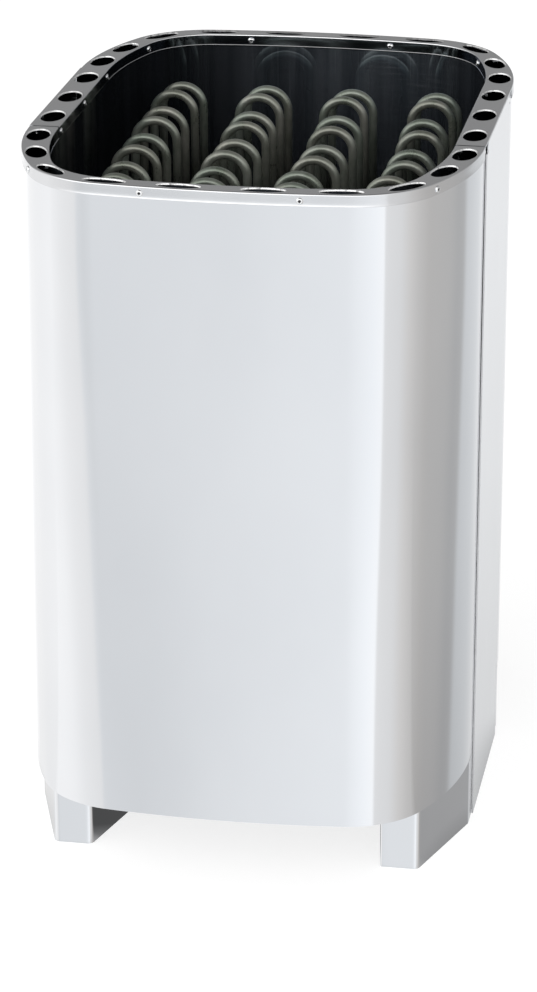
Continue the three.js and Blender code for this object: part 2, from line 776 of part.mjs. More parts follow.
addPiece('rim_front', frontRim(), rimSteel);
addPiece('rim_rear', rearRim(), rimSteel, true);
addPiece('front_shell', endShell(), steel);
addPiece('rear_shell', endShell(), steel, true);
addPiece('side_panel_right', sidePanel(), steel);
addPiece('side_panel_left', sidePanel(), steel, true);
addPiece('front_leg_frame', legFrame(), steel);
addPiece('rear_leg_frame', legFrame(), steel, true);
addPiece('liner_front', endLiner(), darkSteel);
addPiece('liner_rear', endLiner(), darkSteel, true);
addPiece('liner_right', sideLiner(), darkSteel);
addPiece('liner_left', sideLiner(), darkSteel, true);
addPiece('compartment_floor', compartmentFloorPlate(), zincSteel);
for (const place of elementPlaces()) {
  addPiece(place.name, heatingElement(place), elementSheath);
}
addPiece('wiring_box', wiringBox(), zincSteel);
addPiece('wiring_box_cover', wiringBoxCover(), zincSteel);
addPiece('terminal_block', terminalBlock(), ceramic);
addPiece('neutral_link_plate', neutralLinkPlate(), brass);
addPiece('cable_gland', cableGland(), blackPlastic);
addPiece('floor_heat_shield', floorHeatShield(), zincSteel);
addRivets('front_outer', outerRivetSeats(), shellSheet);
addRivets('rear_outer', outerRivetSeats(), shellSheet, true);
addRivets('front_inner', innerRivetSeats(), linerSheet);
addRivets('rear_inner', innerRivetSeats(), linerSheet, true);
addRivets('right_inner', sideRivetSeats(), linerSheet);
addRivets('left_inner', sideRivetSeats(), linerSheet, true);

export default heater;
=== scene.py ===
import math

import bmesh
import bpy
import numpy as np
from mathutils import Matrix


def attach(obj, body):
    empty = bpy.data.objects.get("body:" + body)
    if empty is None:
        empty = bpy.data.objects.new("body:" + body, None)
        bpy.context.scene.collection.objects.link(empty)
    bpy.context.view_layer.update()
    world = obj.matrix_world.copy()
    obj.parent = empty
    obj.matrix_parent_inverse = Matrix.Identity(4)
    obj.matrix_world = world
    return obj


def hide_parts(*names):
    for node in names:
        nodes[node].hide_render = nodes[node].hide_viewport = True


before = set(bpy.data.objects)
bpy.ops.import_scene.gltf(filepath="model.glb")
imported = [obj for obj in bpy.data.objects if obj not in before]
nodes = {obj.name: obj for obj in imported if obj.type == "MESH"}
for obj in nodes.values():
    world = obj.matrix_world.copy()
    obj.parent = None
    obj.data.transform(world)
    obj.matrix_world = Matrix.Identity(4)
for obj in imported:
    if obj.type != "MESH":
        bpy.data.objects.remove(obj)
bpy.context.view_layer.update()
print("frame loaded,", len(nodes), "solids")

mm = 0.001  # sizes of the pieces are in millimetres
slack = 0.01  # millimetres, for telling two marks apart


# camera

cameraSetup = {
    "place": (0.57766, -3.35645, 1.58977),  # metres
    "pitch": 20.982,
    "yaw": 9.8725,
    "roll": 0.0074,
    "lens": 134.22,
    "sensor": 36,
    "farEnd": 60,
}


def placeCamera(setup):
    # look direction from yaw and pitch, then the picture is turned by the roll about it
    pitch, yaw, roll = (math.radians(setup[k]) for k in ("pitch", "yaw", "roll"))
    ahead = np.array((-math.sin(yaw) * math.cos(pitch), math.cos(yaw) * math.cos(pitch), -math.sin(pitch)))
    right = np.array((math.cos(yaw), math.sin(yaw), 0.0))
    up = np.cross(right, ahead)
    turnedRight = math.cos(roll) * right + math.sin(roll) * up
    turnedUp = math.cos(roll) * up - math.sin(roll) * right
    data = bpy.data.cameras.new("camera")
    data.lens = setup["lens"]
    data.sensor_width = setup["sensor"]
    data.clip_end = setup["farEnd"]
    camera = bpy.data.objects.new("camera", data)
    bpy.context.scene.collection.objects.link(camera)
    pose = np.eye(4)
    pose[:3, 0], pose[:3, 1], pose[:3, 2], pose[:3, 3] = turnedRight, turnedUp, -ahead, setup["place"]
    camera.matrix_world = Matrix(pose.tolist())
    bpy.context.scene.camera = camera


placeCamera(cameraSetup)
bpy.context.scene.view_settings.view_transform = "Standard"
print("camera placed")


# studio

studio = {
    # bearing in degrees (0 right, -90 front, 90 rear), level of the screens that upright steel mirrors,
    # and how cool their white is (below 0 warm)
    "screens": (
        (-180, 1.08, 0), (-165, 1.06, 0), (-148, 0.98, 0), (-128, 0.93, 0), (-124, 0.84, 1), (-117, 0.80, 1),
        (-110, 0.83, 1), (-103, 0.875, 1), (-96, 0.91, 1), (-75, 1.02, 1), (-53, 1.10, 1), (-42, 1.14, 0.6),
        (-39, 0.88, 0), (-20, 0.83, 0), (-7, 0.72, -1), (7, 0.62, -1), (23, 0.55, -1.2), (43, 0.52, -0.6),
        (50, 0.48, 0), (55, 0.50, 0), (59, 0.70, 1), (73, 0.77, 1), (84, 0.90, 0.5), (97, 1.04, 0.3),
        (112, 1.2, 0), (126, 1.03, 0), (157, 1.05, 0), (180, 1.08, 0),
    ),
    "coolShift": 0.022,  # change of red and of blue for a cool white of 1
    # the same above the horizon: a wide soft box in front and to the left, a grey wall behind
    "walls": (
        (-180, 1.0), (-155, 1.6), (-135, 1.9), (-95, 1.9), (-60, 1.5), (-25, 0.8), (30, 0.4), (70, 0.3),
        (130, 0.3), (180, 1.0),
    ),
    # sines of the look down at the top and at the foot of the casing; between them the screens on the left,
    # then those on the right, lean from one turn to the other (degrees); the lean sets in between two shares
    # of the ring, which starts at -180 degrees
    "leanSpan": (-0.304, -0.434),
    "leans": (((15, -9), (0.222, 0.167)), ((0, 7), (0.278, 0.333))),
    "overhead": 0.2,
    "headroom": 2.0,  # brightest level the ramps can hold
    "horizonBlend": 12.0,  # how sharply the screens pass into the walls
    "wallTop": 0.62,  # sine of the height where the walls start to pass into the ceiling
    "ceilingFrom": 0.9,
    "floorShade": (0.45, 0.45, 0.45),
    "floorGlow": 0.78,
    "floorReach": 30.0,
}

shadeSetup = {
    "reach": 4.0,
    "height": 0.1,
    "halfAcross": 0.2135,
    "halfDeep": 0.2925,
    # distance from the middle in footprints, and how much of the screens is still mirrored there
    "fade": ((0.85, 0.17), (1.0, 0.55), (1.16, 0.78), (2.2, 0.85), (3.4, 0.92), (5.7, 0.98), (7.0, 1.0)),
    "fadeSpan": 8.0,  # longest distance the fade can hold
    # metres; no shade in front of the first, little left of it, full shade from the second
    "front": (-0.23, -0.205),
    "left": (-0.29, -0.19),
    "leftShare": 0.35,
}


def feed(tree, socket, value):
    # the output of a node is linked to the socket, anything else is set on it
    if isinstance(value, bpy.types.NodeSocket):
        tree.links.new(value, socket)
    else:
        socket.default_value = value


def addNode(tree, kind, sockets=(), **settings):
    # settings go first, because some of them decide which sockets there are
    node = tree.nodes.new(kind)
    for key, value in settings.items():
        setattr(node, key, value)
    for name, value in dict(sockets).items():
        feed(tree, node.inputs[name], value)
    return node


def mathNode(tree, operation, *values):
    # one operation on up to three values
    return addNode(tree, "ShaderNodeMath", dict(enumerate(values)), operation=operation).outputs[0]


def rampNode(tree, factor, stops):
    # straight lines between stops of (position, grey or colour)
    node = addNode(tree, "ShaderNodeValToRGB", {0: factor})
    elements = node.color_ramp.elements
    while len(elements) < len(stops):
        elements.new(0.5)
    for element, (position, tone) in zip(elements, stops):
        element.position = position
        element.color = (tone, tone, tone, 1) if isinstance(tone, (int, float)) else (*tone, 1)
    return node.outputs[0]


def spanNode(tree, value, low, high, fromLow=0.3, fromHigh=0.7):
    # the stretch from fromLow to fromHigh is drawn out to low and high, and held there outside it
    sockets = {"Value": value, "From Min": fromLow, "From Max": fromHigh, "To Min": low, "To Max": high}
    return addNode(tree, "ShaderNodeMapRange", sockets).outputs[0]


def mixNode(tree, share, first, second, blend="MIX"):
    # colours mixed by share; a colour mix has them on its sockets 6 and 7
    sockets = {"Factor": share, 6: first, 7: second}
    return addNode(tree, "ShaderNodeMix", sockets, data_type="RGBA", blend_type=blend).outputs[2]


def axesNode(tree, place):
    # x, y and z of a place or a direction
    return addNode(tree, "ShaderNodeSeparateXYZ", {0: place}).outputs


def lightStudio(setup):
    # level by bearing, one ring of screens below the horizon and one above, darker overhead
    world = bpy.data.worlds.new("studio")
    bpy.context.scene.world = world
    world.use_nodes = True
    tree = world.node_tree
    tree.nodes.clear()
    x, y, z = axesNode(tree, addNode(tree, "ShaderNodeTexCoord").outputs["Generated"])
    share = mathNode(tree, "MULTIPLY_ADD", mathNode(tree, "ARCTAN2", y, x), 0.5 / math.pi, 0.5)
    leaning = share
    for turns, setsIn in setup["leans"]:
        lean = spanNode(tree, z, turns[0] / 360, turns[1] / 360, *setup["leanSpan"])
        inside = spanNode(tree, share, 0.0, 1.0, *setsIn)
        leaning = mathNode(tree, "ADD", leaning, mathNode(tree, "MULTIPLY", lean, inside))
    top = setup["headroom"]
    stops = []
    for degrees, bright, cool in setup["screens"]:
        change = cool * setup["coolShift"]
        tint = (1 - change, 1, 1 + change)
        stops.append(((degrees + 180) / 360, [bright / top * part for part in tint]))
    screens = rampNode(tree, leaning, stops)
    wallStops = [((degrees + 180) / 360, bright / top) for degrees, bright in setup["walls"]]
    walls = rampNode(tree, share, wallStops)
    climb = spanNode(tree, z, 0.0, 1.0, setup["wallTop"], setup["ceilingFrom"])
    upper = mixNode(tree, climb, walls, (*[setup["overhead"] / top] * 3, 1))
    above = mathNode(tree, "MULTIPLY_ADD", z, setup["horizonBlend"], 0.5)
    above.node.use_clamp = True
    tone = mixNode(tree, above, screens, upper)
    room = addNode(tree, "ShaderNodeBackground", {"Strength": top, "Color": tone})
    white = addNode(tree, "ShaderNodeBackground", {"Color": (1, 1, 1, 1)})
    path = addNode(tree, "ShaderNodeLightPath")
    seen = {0: path.outputs["Is Camera Ray"], 1: room.outputs[0], 2: white.outputs[0]}
    mix = addNode(tree, "ShaderNodeMixShader", seen)
    addNode(tree, "ShaderNodeOutputWorld", {0: mix.outputs[0]})


def flatSquare(name, finish, reach, height):
    # corners at the reach either way, with an empty finish
    mesh = bpy.data.meshes.new(name)
    corners = [(x * reach, y * reach, height) for x, y in ((-1, -1), (1, -1), (1, 1), (-1, 1))]
    mesh.from_pydata(corners, [], [(0, 1, 2, 3)])
    square = bpy.data.objects.new(name, mesh)
    bpy.context.scene.collection.objects.link(square)
    material = bpy.data.materials.new(finish)
    material.use_nodes = True
    material.node_tree.nodes.clear()
    mesh.materials.append(material)
    return square, material.node_tree


def layFloor(setup):
    # matt tone plus a glow for the camera alone, so it reads white and keeps the soft shadow
    floor, tree = flatSquare("floor", "floorPale", setup["floorReach"], 0)
    floor.visible_glossy = False  # the steel mirrors the screens of the room instead
    matt = addNode(tree, "ShaderNodeBsdfDiffuse", {"Color": (*setup["floorShade"], 1)})
    path = addNode(tree, "ShaderNodeLightPath")
    strength = mathNode(tree, "MULTIPLY", path.outputs["Is Camera Ray"], setup["floorGlow"])
    glow = addNode(tree, "ShaderNodeEmission", {"Strength": strength})
    both = addNode(tree, "ShaderNodeAddShader", {0: matt.outputs[0], 1: glow.outputs[0]})
    addNode(tree, "ShaderNodeOutputMaterial", {0: both.outputs[0]})


def layShade(setup):
    # only polished steel sees this sheet: it dims the mirrored screens by the distance from the heater,
    # where the distance is the root of (x over half width) squared plus (y over half depth) squared
    shade, tree = flatSquare("floorShade", "floorShade", setup["reach"], setup["height"] * mm)
    shade.visible_camera = False
    shade.visible_diffuse = False
    shade.visible_shadow = False
    x, y, _ = axesNode(tree, addNode(tree, "ShaderNodeTexCoord").outputs["Object"])
    across, deep = (mathNode(tree, "POWER", mathNode(tree, "ABSOLUTE", way), 2.0) for way in (x, y))
    deepPart = mathNode(tree, "MULTIPLY", deep, setup["halfDeep"] ** -2)
    total = mathNode(tree, "MULTIPLY_ADD", across, setup["halfAcross"] ** -2, deepPart)
    span = setup["fadeSpan"]
    away = mathNode(tree, "MULTIPLY", mathNode(tree, "SQRT", total), 1 / span)
    fade = rampNode(tree, away, [(distance / span, kept) for distance, kept in setup["fade"]])
    behind = spanNode(tree, y, 0.0, 1.0, *setup["front"])
    beside = spanNode(tree, x, setup["leftShare"], 1.0, *setup["left"])
    tone = mixNode(tree, mathNode(tree, "MULTIPLY", behind, beside), (1, 1, 1, 1), fade)
    clear = addNode(tree, "ShaderNodeBsdfTransparent", {"Color": tone})
    addNode(tree, "ShaderNodeOutputMaterial", {0: clear.outputs[0]})


lightStudio(studio)
layFloor(studio)
layShade(shadeSetup)
print("studio lit")


# finishes; a noise is given as stretch, scale, detail and roughness, a bump as strength and metres

def newFinish(name, color, roughness, metallic):
    # plain values on the shader's own sockets, and the object's coordinates to read noises at
    material = bpy.data.materials.new(name)
    material.use_nodes = True
    tree = material.node_tree
    sockets = tree.nodes["Principled BSDF"].inputs
    sockets["Base Color"].default_value = (*color, 1)
    sockets["Roughness"].default_value = roughness
    sockets["Metallic"].default_value = metallic
    return material, tree, addNode(tree, "ShaderNodeTexCoord").outputs["Object"]


def dressed(material, color, gloss, height=None, bump=None):
    # links colour and gloss, and a bump if there is a height
    tree = material.node_tree
    sockets = tree.nodes["Principled BSDF"].inputs
    feed(tree, sockets["Base Color"], color)
    feed(tree, sockets["Roughness"], gloss)
    if height is not None:
        values = {"Strength": bump[0], "Distance": bump[1], "Height": height}
        feed(tree, sockets["Normal"], addNode(tree, "ShaderNodeBump", values).outputs[0])
    return material


def grainNode(tree, place, stretch, scale, detail=4, rough=0.55):
    # noise drawn out along an axis by shrinking that axis before it is read
    spread = addNode(tree, "ShaderNodeMapping", {"Vector": place, "Scale": stretch})
    sockets = {"Vector": spread.outputs[0], "Scale": scale, "Detail": detail, "Roughness": rough}
    return addNode(tree, "ShaderNodeTexNoise", sockets).outputs[0]


def acrossNode(tree, place, stops):
    # share by metres across, from the left wall of the stone space to the right one
    low, high = stops[0][0], stops[-1][0]
    along = spanNode(tree, axesNode(tree, place)[0], 0.0, 1.0, low, high)
    return rampNode(tree, along, [((x - low) / (high - low), share) for x, share in stops])


def dimmedNode(tree, color, share):
    # colour times share
    return mixNode(tree, 1, color, share, "MULTIPLY")


def toneNode(tree, noise, look):
    # dark to bright tone over the middle of the noise
    low, high = look.get("toneSpan", (0.3, 0.7))
    return rampNode(tree, noise, [(low, look["dark"]), (high, look["bright"])])


steelLook = {
    "name": "casingSteel", "dark": (0.79, 0.80, 0.82), "bright": (0.83, 0.838, 0.855),
    "smooth": 0.055, "dull": 0.1, "bump": (0.02, 0.0001),
    "smudge": ((1, 1, 0.6), 6, 3), "grain": ((1, 1, 0.02), 700, 3), "grainShare": 0.6,
}
panelLook = {
    **steelLook, "name": "panelSteel", "dark": (0.90, 0.905, 0.92), "bright": (0.95, 0.953, 0.965),
    "smooth": 0.16, "dull": 0.24,
}
rimLook = {
    "name": "rimSteel", "dark": (0.69, 0.695, 0.71), "bright": (0.745, 0.75, 0.76),
    "smooth": 0.14, "dull": 0.21, "bump": (0.02, 0.0001),
    "smudge": ((1, 1, 1), 12, 4), "grain": ((0.05, 1, 1), 1200, 2), "grainShare": 0.3,
}
paintedShadeSkirtLook = {
    # painted shade: the inner skirt is the rim's steel made darker and bluer, for the dark interior it
    # mirrors
    **rimLook, "name": "innerSkirtSteelPaintedShade", "dark": (0.34, 0.38, 0.46), "bright": (0.55, 0.60, 0.69),
    "smooth": 0.07, "dull": 0.13,
    # painted shade: share of the tone kept from left to right, darker at the left and right sides
    "filmAndPaintedShade": ((-0.2, 0.25), (-0.17, 0.35), (-0.11, 1.0), (0.13, 1.0), (0.17, 0.6), (0.2, 0.5)),
}


def brightSteel(look):
    # tone from wide soft smudges; gloss from the smudges and a rolling grain too fine to read as lines,
    # each by its share; where a look has a painted shade across it, that dims the tone
    material, tree, place = newFinish(look["name"], look["bright"], look["smooth"], 1)
    smudge, grain = (grainNode(tree, place, *look[noise]) for noise in ("smudge", "grain"))
    tone = toneNode(tree, smudge, look)
    if "filmAndPaintedShade" in look:
        tone = dimmedNode(tree, tone, acrossNode(tree, place, look["filmAndPaintedShade"]))
    share = look["grainShare"]
    mixed = mathNode(tree, "MULTIPLY_ADD", grain, share, mathNode(tree, "MULTIPLY", smudge, 1 - share))
    return dressed(material, tone, spanNode(tree, mixed, look["smooth"], look["dull"]), grain, look["bump"])


cutLook = {
    # the pale tone is partly the cut metal, partly a painted highlight for the bright edges of the slots
    "shaded": (0.16, 0.16, 0.16), "bright": (0.97, 0.97, 0.97), "rough": 0.3, "metallic": 0.45, "torn": 0.7,
    # the shade keys set a painted shade on the edges towards the rear
    "shadeFrom": 0.24, "shadeTo": 0.29,  # metres from the middle towards the rear
    "fullShade": 0.9, "stray": 0.1, "tear": ((1, 1, 0.2), 260, 4, 0.65), "tearSpan": (0.5, 0.66),
    "bump": (0.1, 0.0001),
}


def cutSteel(look):
    # punched edge: pale, partly a painted highlight; darker by the tears across the thickness plus painted
    # shade to the rear
    rough, stray, full = look["rough"], look["stray"], look["fullShade"]
    material, tree, place = newFinish("cutSteel", look["bright"], rough, look["metallic"])
    tear = grainNode(tree, place, *look["tear"])
    # painted shade: the edges darken from shadeFrom to shadeTo towards the rear
    depth = spanNode(tree, axesNode(tree, place)[1], 0.0, full, look["shadeFrom"], look["shadeTo"])
    torn = spanNode(tree, tear, 0.0, 1.0, *look["tearSpan"])
    both = mathNode(tree, "MULTIPLY_ADD", torn, look["torn"], depth)
    tone = rampNode(tree, both, [(0.0, look["bright"]), (full, look["shaded"])])
    return dressed(material, tone, spanNode(tree, tear, rough - stray, rough + stray), tear, look["bump"])


linerLook = {
    # painted shade: the dark bluish tones darken the polished steel for the dark interior it mirrors
    "dark": (0.15, 0.178, 0.215), "bright": (0.38, 0.42, 0.48), "toneSpan": (0.35, 0.8),
    "smooth": 0.03, "dull": 0.09, "glossSpan": (0.3, 0.9), "metallic": 0.87, "bump": (0.06, 0.0005),
    "streak": ((1, 1, 0.03), 60, 4, 0.6),
    "scratch": ((1, 1, 0.015), 420, 2, 0.7), "scratchSpan": (0.62, 0.72), "scratchShare": 0.35,
    "wipe": ((0.06, 0.06, 1), 420, 3, 0.7), "wipeSpan": (0.5, 0.75),
    "scuff": 0.5, "patches": ((1, 1, 0.7), 16, 2), "patchSpan": (0.5, 0.68),
    # painted shade: share of the tone kept from the left wall to the right wall, by metres across, darker on
    # the side walls
    "filmAndPaintedShade": ((-0.2, 0.2), (-0.15, 0.25), (0.02, 1.0), (0.1, 1.0), (0.165, 0.3), (0.2, 0.2)),
}


def linerSteel(look):
    # glossy sheet painted dark and bluish as shade of the dark interior it mirrors: upright streaks plus a
    # share of thin scratches plus level wipe marks times patches, and the painted shade of the side walls
    # over all of it
    material, tree, place = newFinish("linerSteel", look["dark"], look["smooth"], look["metallic"])
    noises = ("streak", "scratch", "wipe", "patches")
    streak, scratch, wipe, patches = (grainNode(tree, place, *look[noise]) for noise in noises)
    fine = spanNode(tree, scratch, 0.0, 1.0, *look["scratchSpan"])
    wiped = spanNode(tree, wipe, 0.0, 1.0, *look["wipeSpan"])
    scuffed = spanNode(tree, patches, 0.0, look["scuff"], *look["patchSpan"])
    lines = mathNode(tree, "MULTIPLY_ADD", fine, look["scratchShare"], streak)
    marks = mathNode(tree, "MULTIPLY_ADD", wiped, scuffed, lines)
    # painted shade: the side walls are darkened by their share across
    tone = dimmedNode(tree, toneNode(tree, marks, look), acrossNode(tree, place, look["filmAndPaintedShade"]))
    gloss = spanNode(tree, marks, look["smooth"], look["dull"], *look["glossSpan"])
    return dressed(material, tone, gloss, streak, look["bump"])


sheathLook = {
    "dark": (0.175, 0.195, 0.165), "mid": (0.238, 0.257, 0.228), "bright": (0.315, 0.327, 0.30),
    "toneStops": (0.34, 0.5, 0.68), "metallic": 0.6, "smooth": 0.25, "dull": 0.36, "bump": (0.03, 0.0002),
    "blotch": ((1, 1, 0.6), 55, 5, 0.6), "drawn": ((1, 1, 0.12), 900, 2), "drawnShare": 0.12,
    # heat tints that change from arch to arch
    "green": (0.96, 1.0, 0.95), "brown": (1.05, 1.0, 0.96), "heat": ((1, 1, 0.3), 17, 2),
    "heatSpan": (0.42, 0.58),
    "deepSpan": (0.53, 0.634),  # metres; the legs get darker from the second height down to the first
    "deepShare": 0.08,
}


def elementSheath(look):
    # oxidised tube: blotches and a share of fine draw marks pick the tone, times the heat tint, times the
    # share of light left deep in the stone space
    material, tree, place = newFinish("elementSheath", look["mid"], look["smooth"], look["metallic"])
    blotch, drawn, heat = (grainNode(tree, place, *look[noise]) for noise in ("blotch", "drawn", "heat"))
    share = look["drawnShare"]
    both = mathNode(tree, "MULTIPLY_ADD", drawn, share, mathNode(tree, "MULTIPLY", blotch, 1 - share))
    tones = [look[tone] for tone in ("dark", "mid", "bright")]
    tint = rampNode(tree, heat, list(zip(look["heatSpan"], (look["green"], look["brown"]))))
    tone = dimmedNode(tree, rampNode(tree, both, list(zip(look["toneStops"], tones))), tint)
    depth = spanNode(tree, axesNode(tree, place)[2], look["deepShare"], 1.0, *look["deepSpan"])
    gloss = spanNode(tree, both, look["smooth"], look["dull"])
    return dressed(material, dimmedNode(tree, tone, depth), gloss, both, look["bump"])


zincLook = {
    "dark": (0.36, 0.375, 0.385), "bright": (0.50, 0.51, 0.52), "toneSpan": (0.3, 0.85), "rough": 0.45,
    "smooth": 0.36, "dull": 0.6, "flower": 110, "flowerShare": 0.55, "dust": ((1, 1, 1), 14, 4),
    "dustShare": 0.6,
}


def zincSteel(look):
    # zinc coat: crystal flowers of slightly different grey plus a dusty film, each by its share
    material, tree, place = newFinish("zincSteel", look["bright"], look["rough"], 1)
    flower = addNode(tree, "ShaderNodeTexVoronoi", {"Vector": place, "Scale": look["flower"]})
    dust = mathNode(tree, "MULTIPLY", grainNode(tree, place, *look["dust"]), look["dustShare"])
    both = mathNode(tree, "MULTIPLY_ADD", flower.outputs["Color"], look["flowerShare"], dust)
    return dressed(material, toneNode(tree, both, look), spanNode(tree, both, look["smooth"], look["dull"]))


sootyLook = {
    "dark": (0.05, 0.052, 0.055), "bright": (0.10, 0.10, 0.10), "rough": 0.55, "metallic": 0.9,
    "smooth": 0.45, "dull": 0.65, "filmAndPaintedShade": ((1, 1, 1), 18, 5),
}


def sootyZinc(look):
    # the compartment floor: zinc dulled by heat, tone and gloss from one film
    material, tree, place = newFinish("sootyZinc", look["dark"], look["rough"], look["metallic"])
    filmAndPaintedShade = grainNode(tree, place, *look["filmAndPaintedShade"])
    return dressed(material, toneNode(tree, filmAndPaintedShade, look), spanNode(tree, filmAndPaintedShade, look["smooth"], look["dull"]))


# dark and bright tone, roughness, metallic share and scale of the mottle
plainLooks = {
    # the panels' cut edges: the cut metal's own duller grey, partly painted shade for the dark seam line
    # beside the shell
    "shearedEdgeSeamShade": ((0.62, 0.62, 0.63), (0.72, 0.72, 0.73), 0.45, 0.7, 600),
    "blockCeramic": ((0.70, 0.67, 0.60), (0.82, 0.79, 0.72), 0.55, 0, 60),
    "linkBrass": ((0.52, 0.38, 0.17), (0.70, 0.54, 0.27), 0.34, 1, 40),
    "glandPlastic": ((0.035, 0.035, 0.038), (0.055, 0.055, 0.06), 0.48, 0, 200),
    "rivetSteel": ((0.80, 0.81, 0.82), (0.92, 0.925, 0.93), 0.2, 1, 500),
    # painted shade: the hole in each rivet head and the stem in it are near black
    "rivetStemHoleShade": ((0.02, 0.02, 0.022), (0.05, 0.05, 0.052), 0.5, 0.6, 500),
}
mottleSetup = {"detail": 5, "stray": (-0.06, 0.08), "bump": (0.05, 0.0003)}


def plainMottle(name, dark, bright, rough, metallic, scale, setup):
    # two close tones over soft noise, the gloss following the tone
    material, tree, place = newFinish(name, bright, rough, metallic)
    mottle = grainNode(tree, place, (1, 1, 1), scale, setup["detail"])
    gloss = spanNode(tree, mottle, *(rough + stray for stray in setup["stray"]))
    tone = toneNode(tree, mottle, {"dark": dark, "bright": bright})
    return dressed(material, tone, gloss, mottle, setup["bump"])


casingFinish, panelFinish, rimFinish, paintedShadeSkirtFinish = (
    brightSteel(look) for look in (steelLook, panelLook, rimLook, paintedShadeSkirtLook)
)
cutFinish = cutSteel(cutLook)
linerFinish = linerSteel(linerLook)
sheathFinish = elementSheath(sheathLook)
zincFinish = zincSteel(zincLook)
sootyFinish = sootyZinc(sootyLook)
plainFinish = {name: plainMottle(name, *values, mottleSetup) for name, values in plainLooks.items()}
print("finishes mixed")


# mesh helpers

def gridQuads(rows, cols, start, closeRows, closeCols):
    # cell (i, j) joins the points (i, j), (i + 1, j), (i + 1, j + 1) and (i, j + 1)
    i, j = np.meshgrid(
        np.arange(rows if closeRows else rows - 1), np.arange(cols if closeCols else cols - 1), indexing="ij"
    )
    below, beside = (i + 1) % rows, (j + 1) % cols
    quads = np.stack((i * cols + j, below * cols + j, below * cols + beside, i * cols + beside), -1)
    return start + quads.reshape(-1, 4)


skinSetup = {"merge": 0.002, "sliver": 0.001, "crease": 32}


def makePiece(name, grids, finishes, replaced, crease=skinSetup["crease"]):
    # joins grids along their shared borders into one closed skin that faces outwards
    points, quads, kinds, count = [], [], [], 0
    for grid, closeRows, closeCols, kind in grids:
        rows, cols = grid.shape[:2]
        quads.append(gridQuads(rows, cols, count, closeRows, closeCols))
        kinds.append(np.full(len(quads[-1]), kind, np.int32))
        points.append(grid.reshape(-1, 3))
        count += rows * cols
    mesh = bpy.data.meshes.new(name)
    mesh.from_pydata((np.concatenate(points) * mm).tolist(), [], np.concatenate(quads).tolist())
    mesh.polygons.foreach_set("material_index", np.concatenate(kinds))
    skin = bmesh.new()
    skin.from_mesh(mesh)
    bmesh.ops.remove_doubles(skin, verts=skin.verts, dist=skinSetup["merge"] * mm)
    bmesh.ops.dissolve_degenerate(skin, edges=skin.edges, dist=skinSetup["sliver"] * mm)
    bmesh.ops.recalc_face_normals(skin, faces=skin.faces)
    skin.to_mesh(mesh)
    skin.free()
    for finish in finishes:
        mesh.materials.append(finish)
    mesh.shade_smooth()
    mesh.set_sharp_from_angle(angle=math.radians(crease))
    piece = bpy.data.objects.new(name, mesh)
    bpy.context.scene.collection.objects.link(piece)
    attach(piece, "root")
    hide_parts(*replaced)


def patch(grid, closeRows=False, closeCols=False, kind=0):
    # one grid of points with the number of its finish
    return grid, closeRows, closeCols, kind


def mirrored(grids, signs=(-1, 1, 1)):
    # each axis times its sign, which swaps left and right unless said otherwise
    return [(grid * np.array(signs), *rest) for grid, *rest in grids]


def turned(grids):
    # half a turn about the upright axis: the rear and left pieces are the front and right ones turned
    return mirrored(grids, (-1, -1, 1))


def raised(flat, height):
    # plan points and heights become points in space
    height = np.broadcast_to(height, flat.shape[:-1])
    return np.concatenate((flat, height[..., None]), -1)


# plan of the casing and of the mouth

casing = {"halfWidth": 213.5, "seam": 109, "endReach": 183.5, "side": 285, "corner": 90, "end": 960}
mouth = {"halfWidth": 185, "seam": 109, "endReach": 164.5, "side": 336, "corner": 71, "end": 866}
level = {"rimTop": 680, "wallTop": 678.2, "shellLow": 68, "linerLow": 190.3}


def planAt(plan, share):
    # share 0 to 1 runs along the right side arc, 1 to 2 round the corner, 2 to 3 to the middle of the bow,
    # and 3 to 6 mirrors it; each point is the arc's centre plus its radius along the outward normal
    share = np.asarray(share, float)
    sideCentre = np.array((plan["halfWidth"] - plan["side"], -plan["seam"]))
    endCentre = np.array((0, plan["end"] - plan["endReach"] - plan["seam"]))
    toSide, toEnd = plan["side"] - plan["corner"], plan["end"] - plan["corner"]
    axis = endCentre - sideCentre
    apart = np.linalg.norm(axis)
    axis = axis / apart
    along = (toSide**2 - toEnd**2 + apart**2) / (2 * apart)
    aside = math.sqrt(toSide**2 - along**2)
    cornerCentre = sideCentre + axis * along + np.array((axis[1], -axis[0])) * aside
    turns = [0.0]
    turns += [math.atan2(*(cornerCentre - centre)[::-1]) for centre in (sideCentre, endCentre)]
    turns += [-math.pi / 2]
    half = np.where(share > 3, 6 - share, share)
    turn = np.interp(half, (0, 1, 2, 3), turns)
    arc = np.minimum(half.astype(int), 2)
    centres = np.array((sideCentre, cornerCentre, endCentre))[arc]
    radii = np.array((plan["side"], plan["corner"], plan["end"]))[arc]
    normal = np.stack((np.cos(turn), np.sin(turn)), -1)
    point = centres + radii[:, None] * normal
    flip = np.where(share > 3, -1.0, 1.0)[:, None] * np.array((1.0, 0.0)) + np.array((0.0, 1.0))
    return point * flip, normal * flip


def fineShares(side, corner, bow):
    # more stations where the plan turns more
    right = np.concatenate(
        (np.linspace(0, 1, side)[:-1], np.linspace(1, 2, corner)[:-1], np.linspace(2, 3, bow))
    )
    return np.concatenate((right, 6 - right[-2::-1]))


# sheets

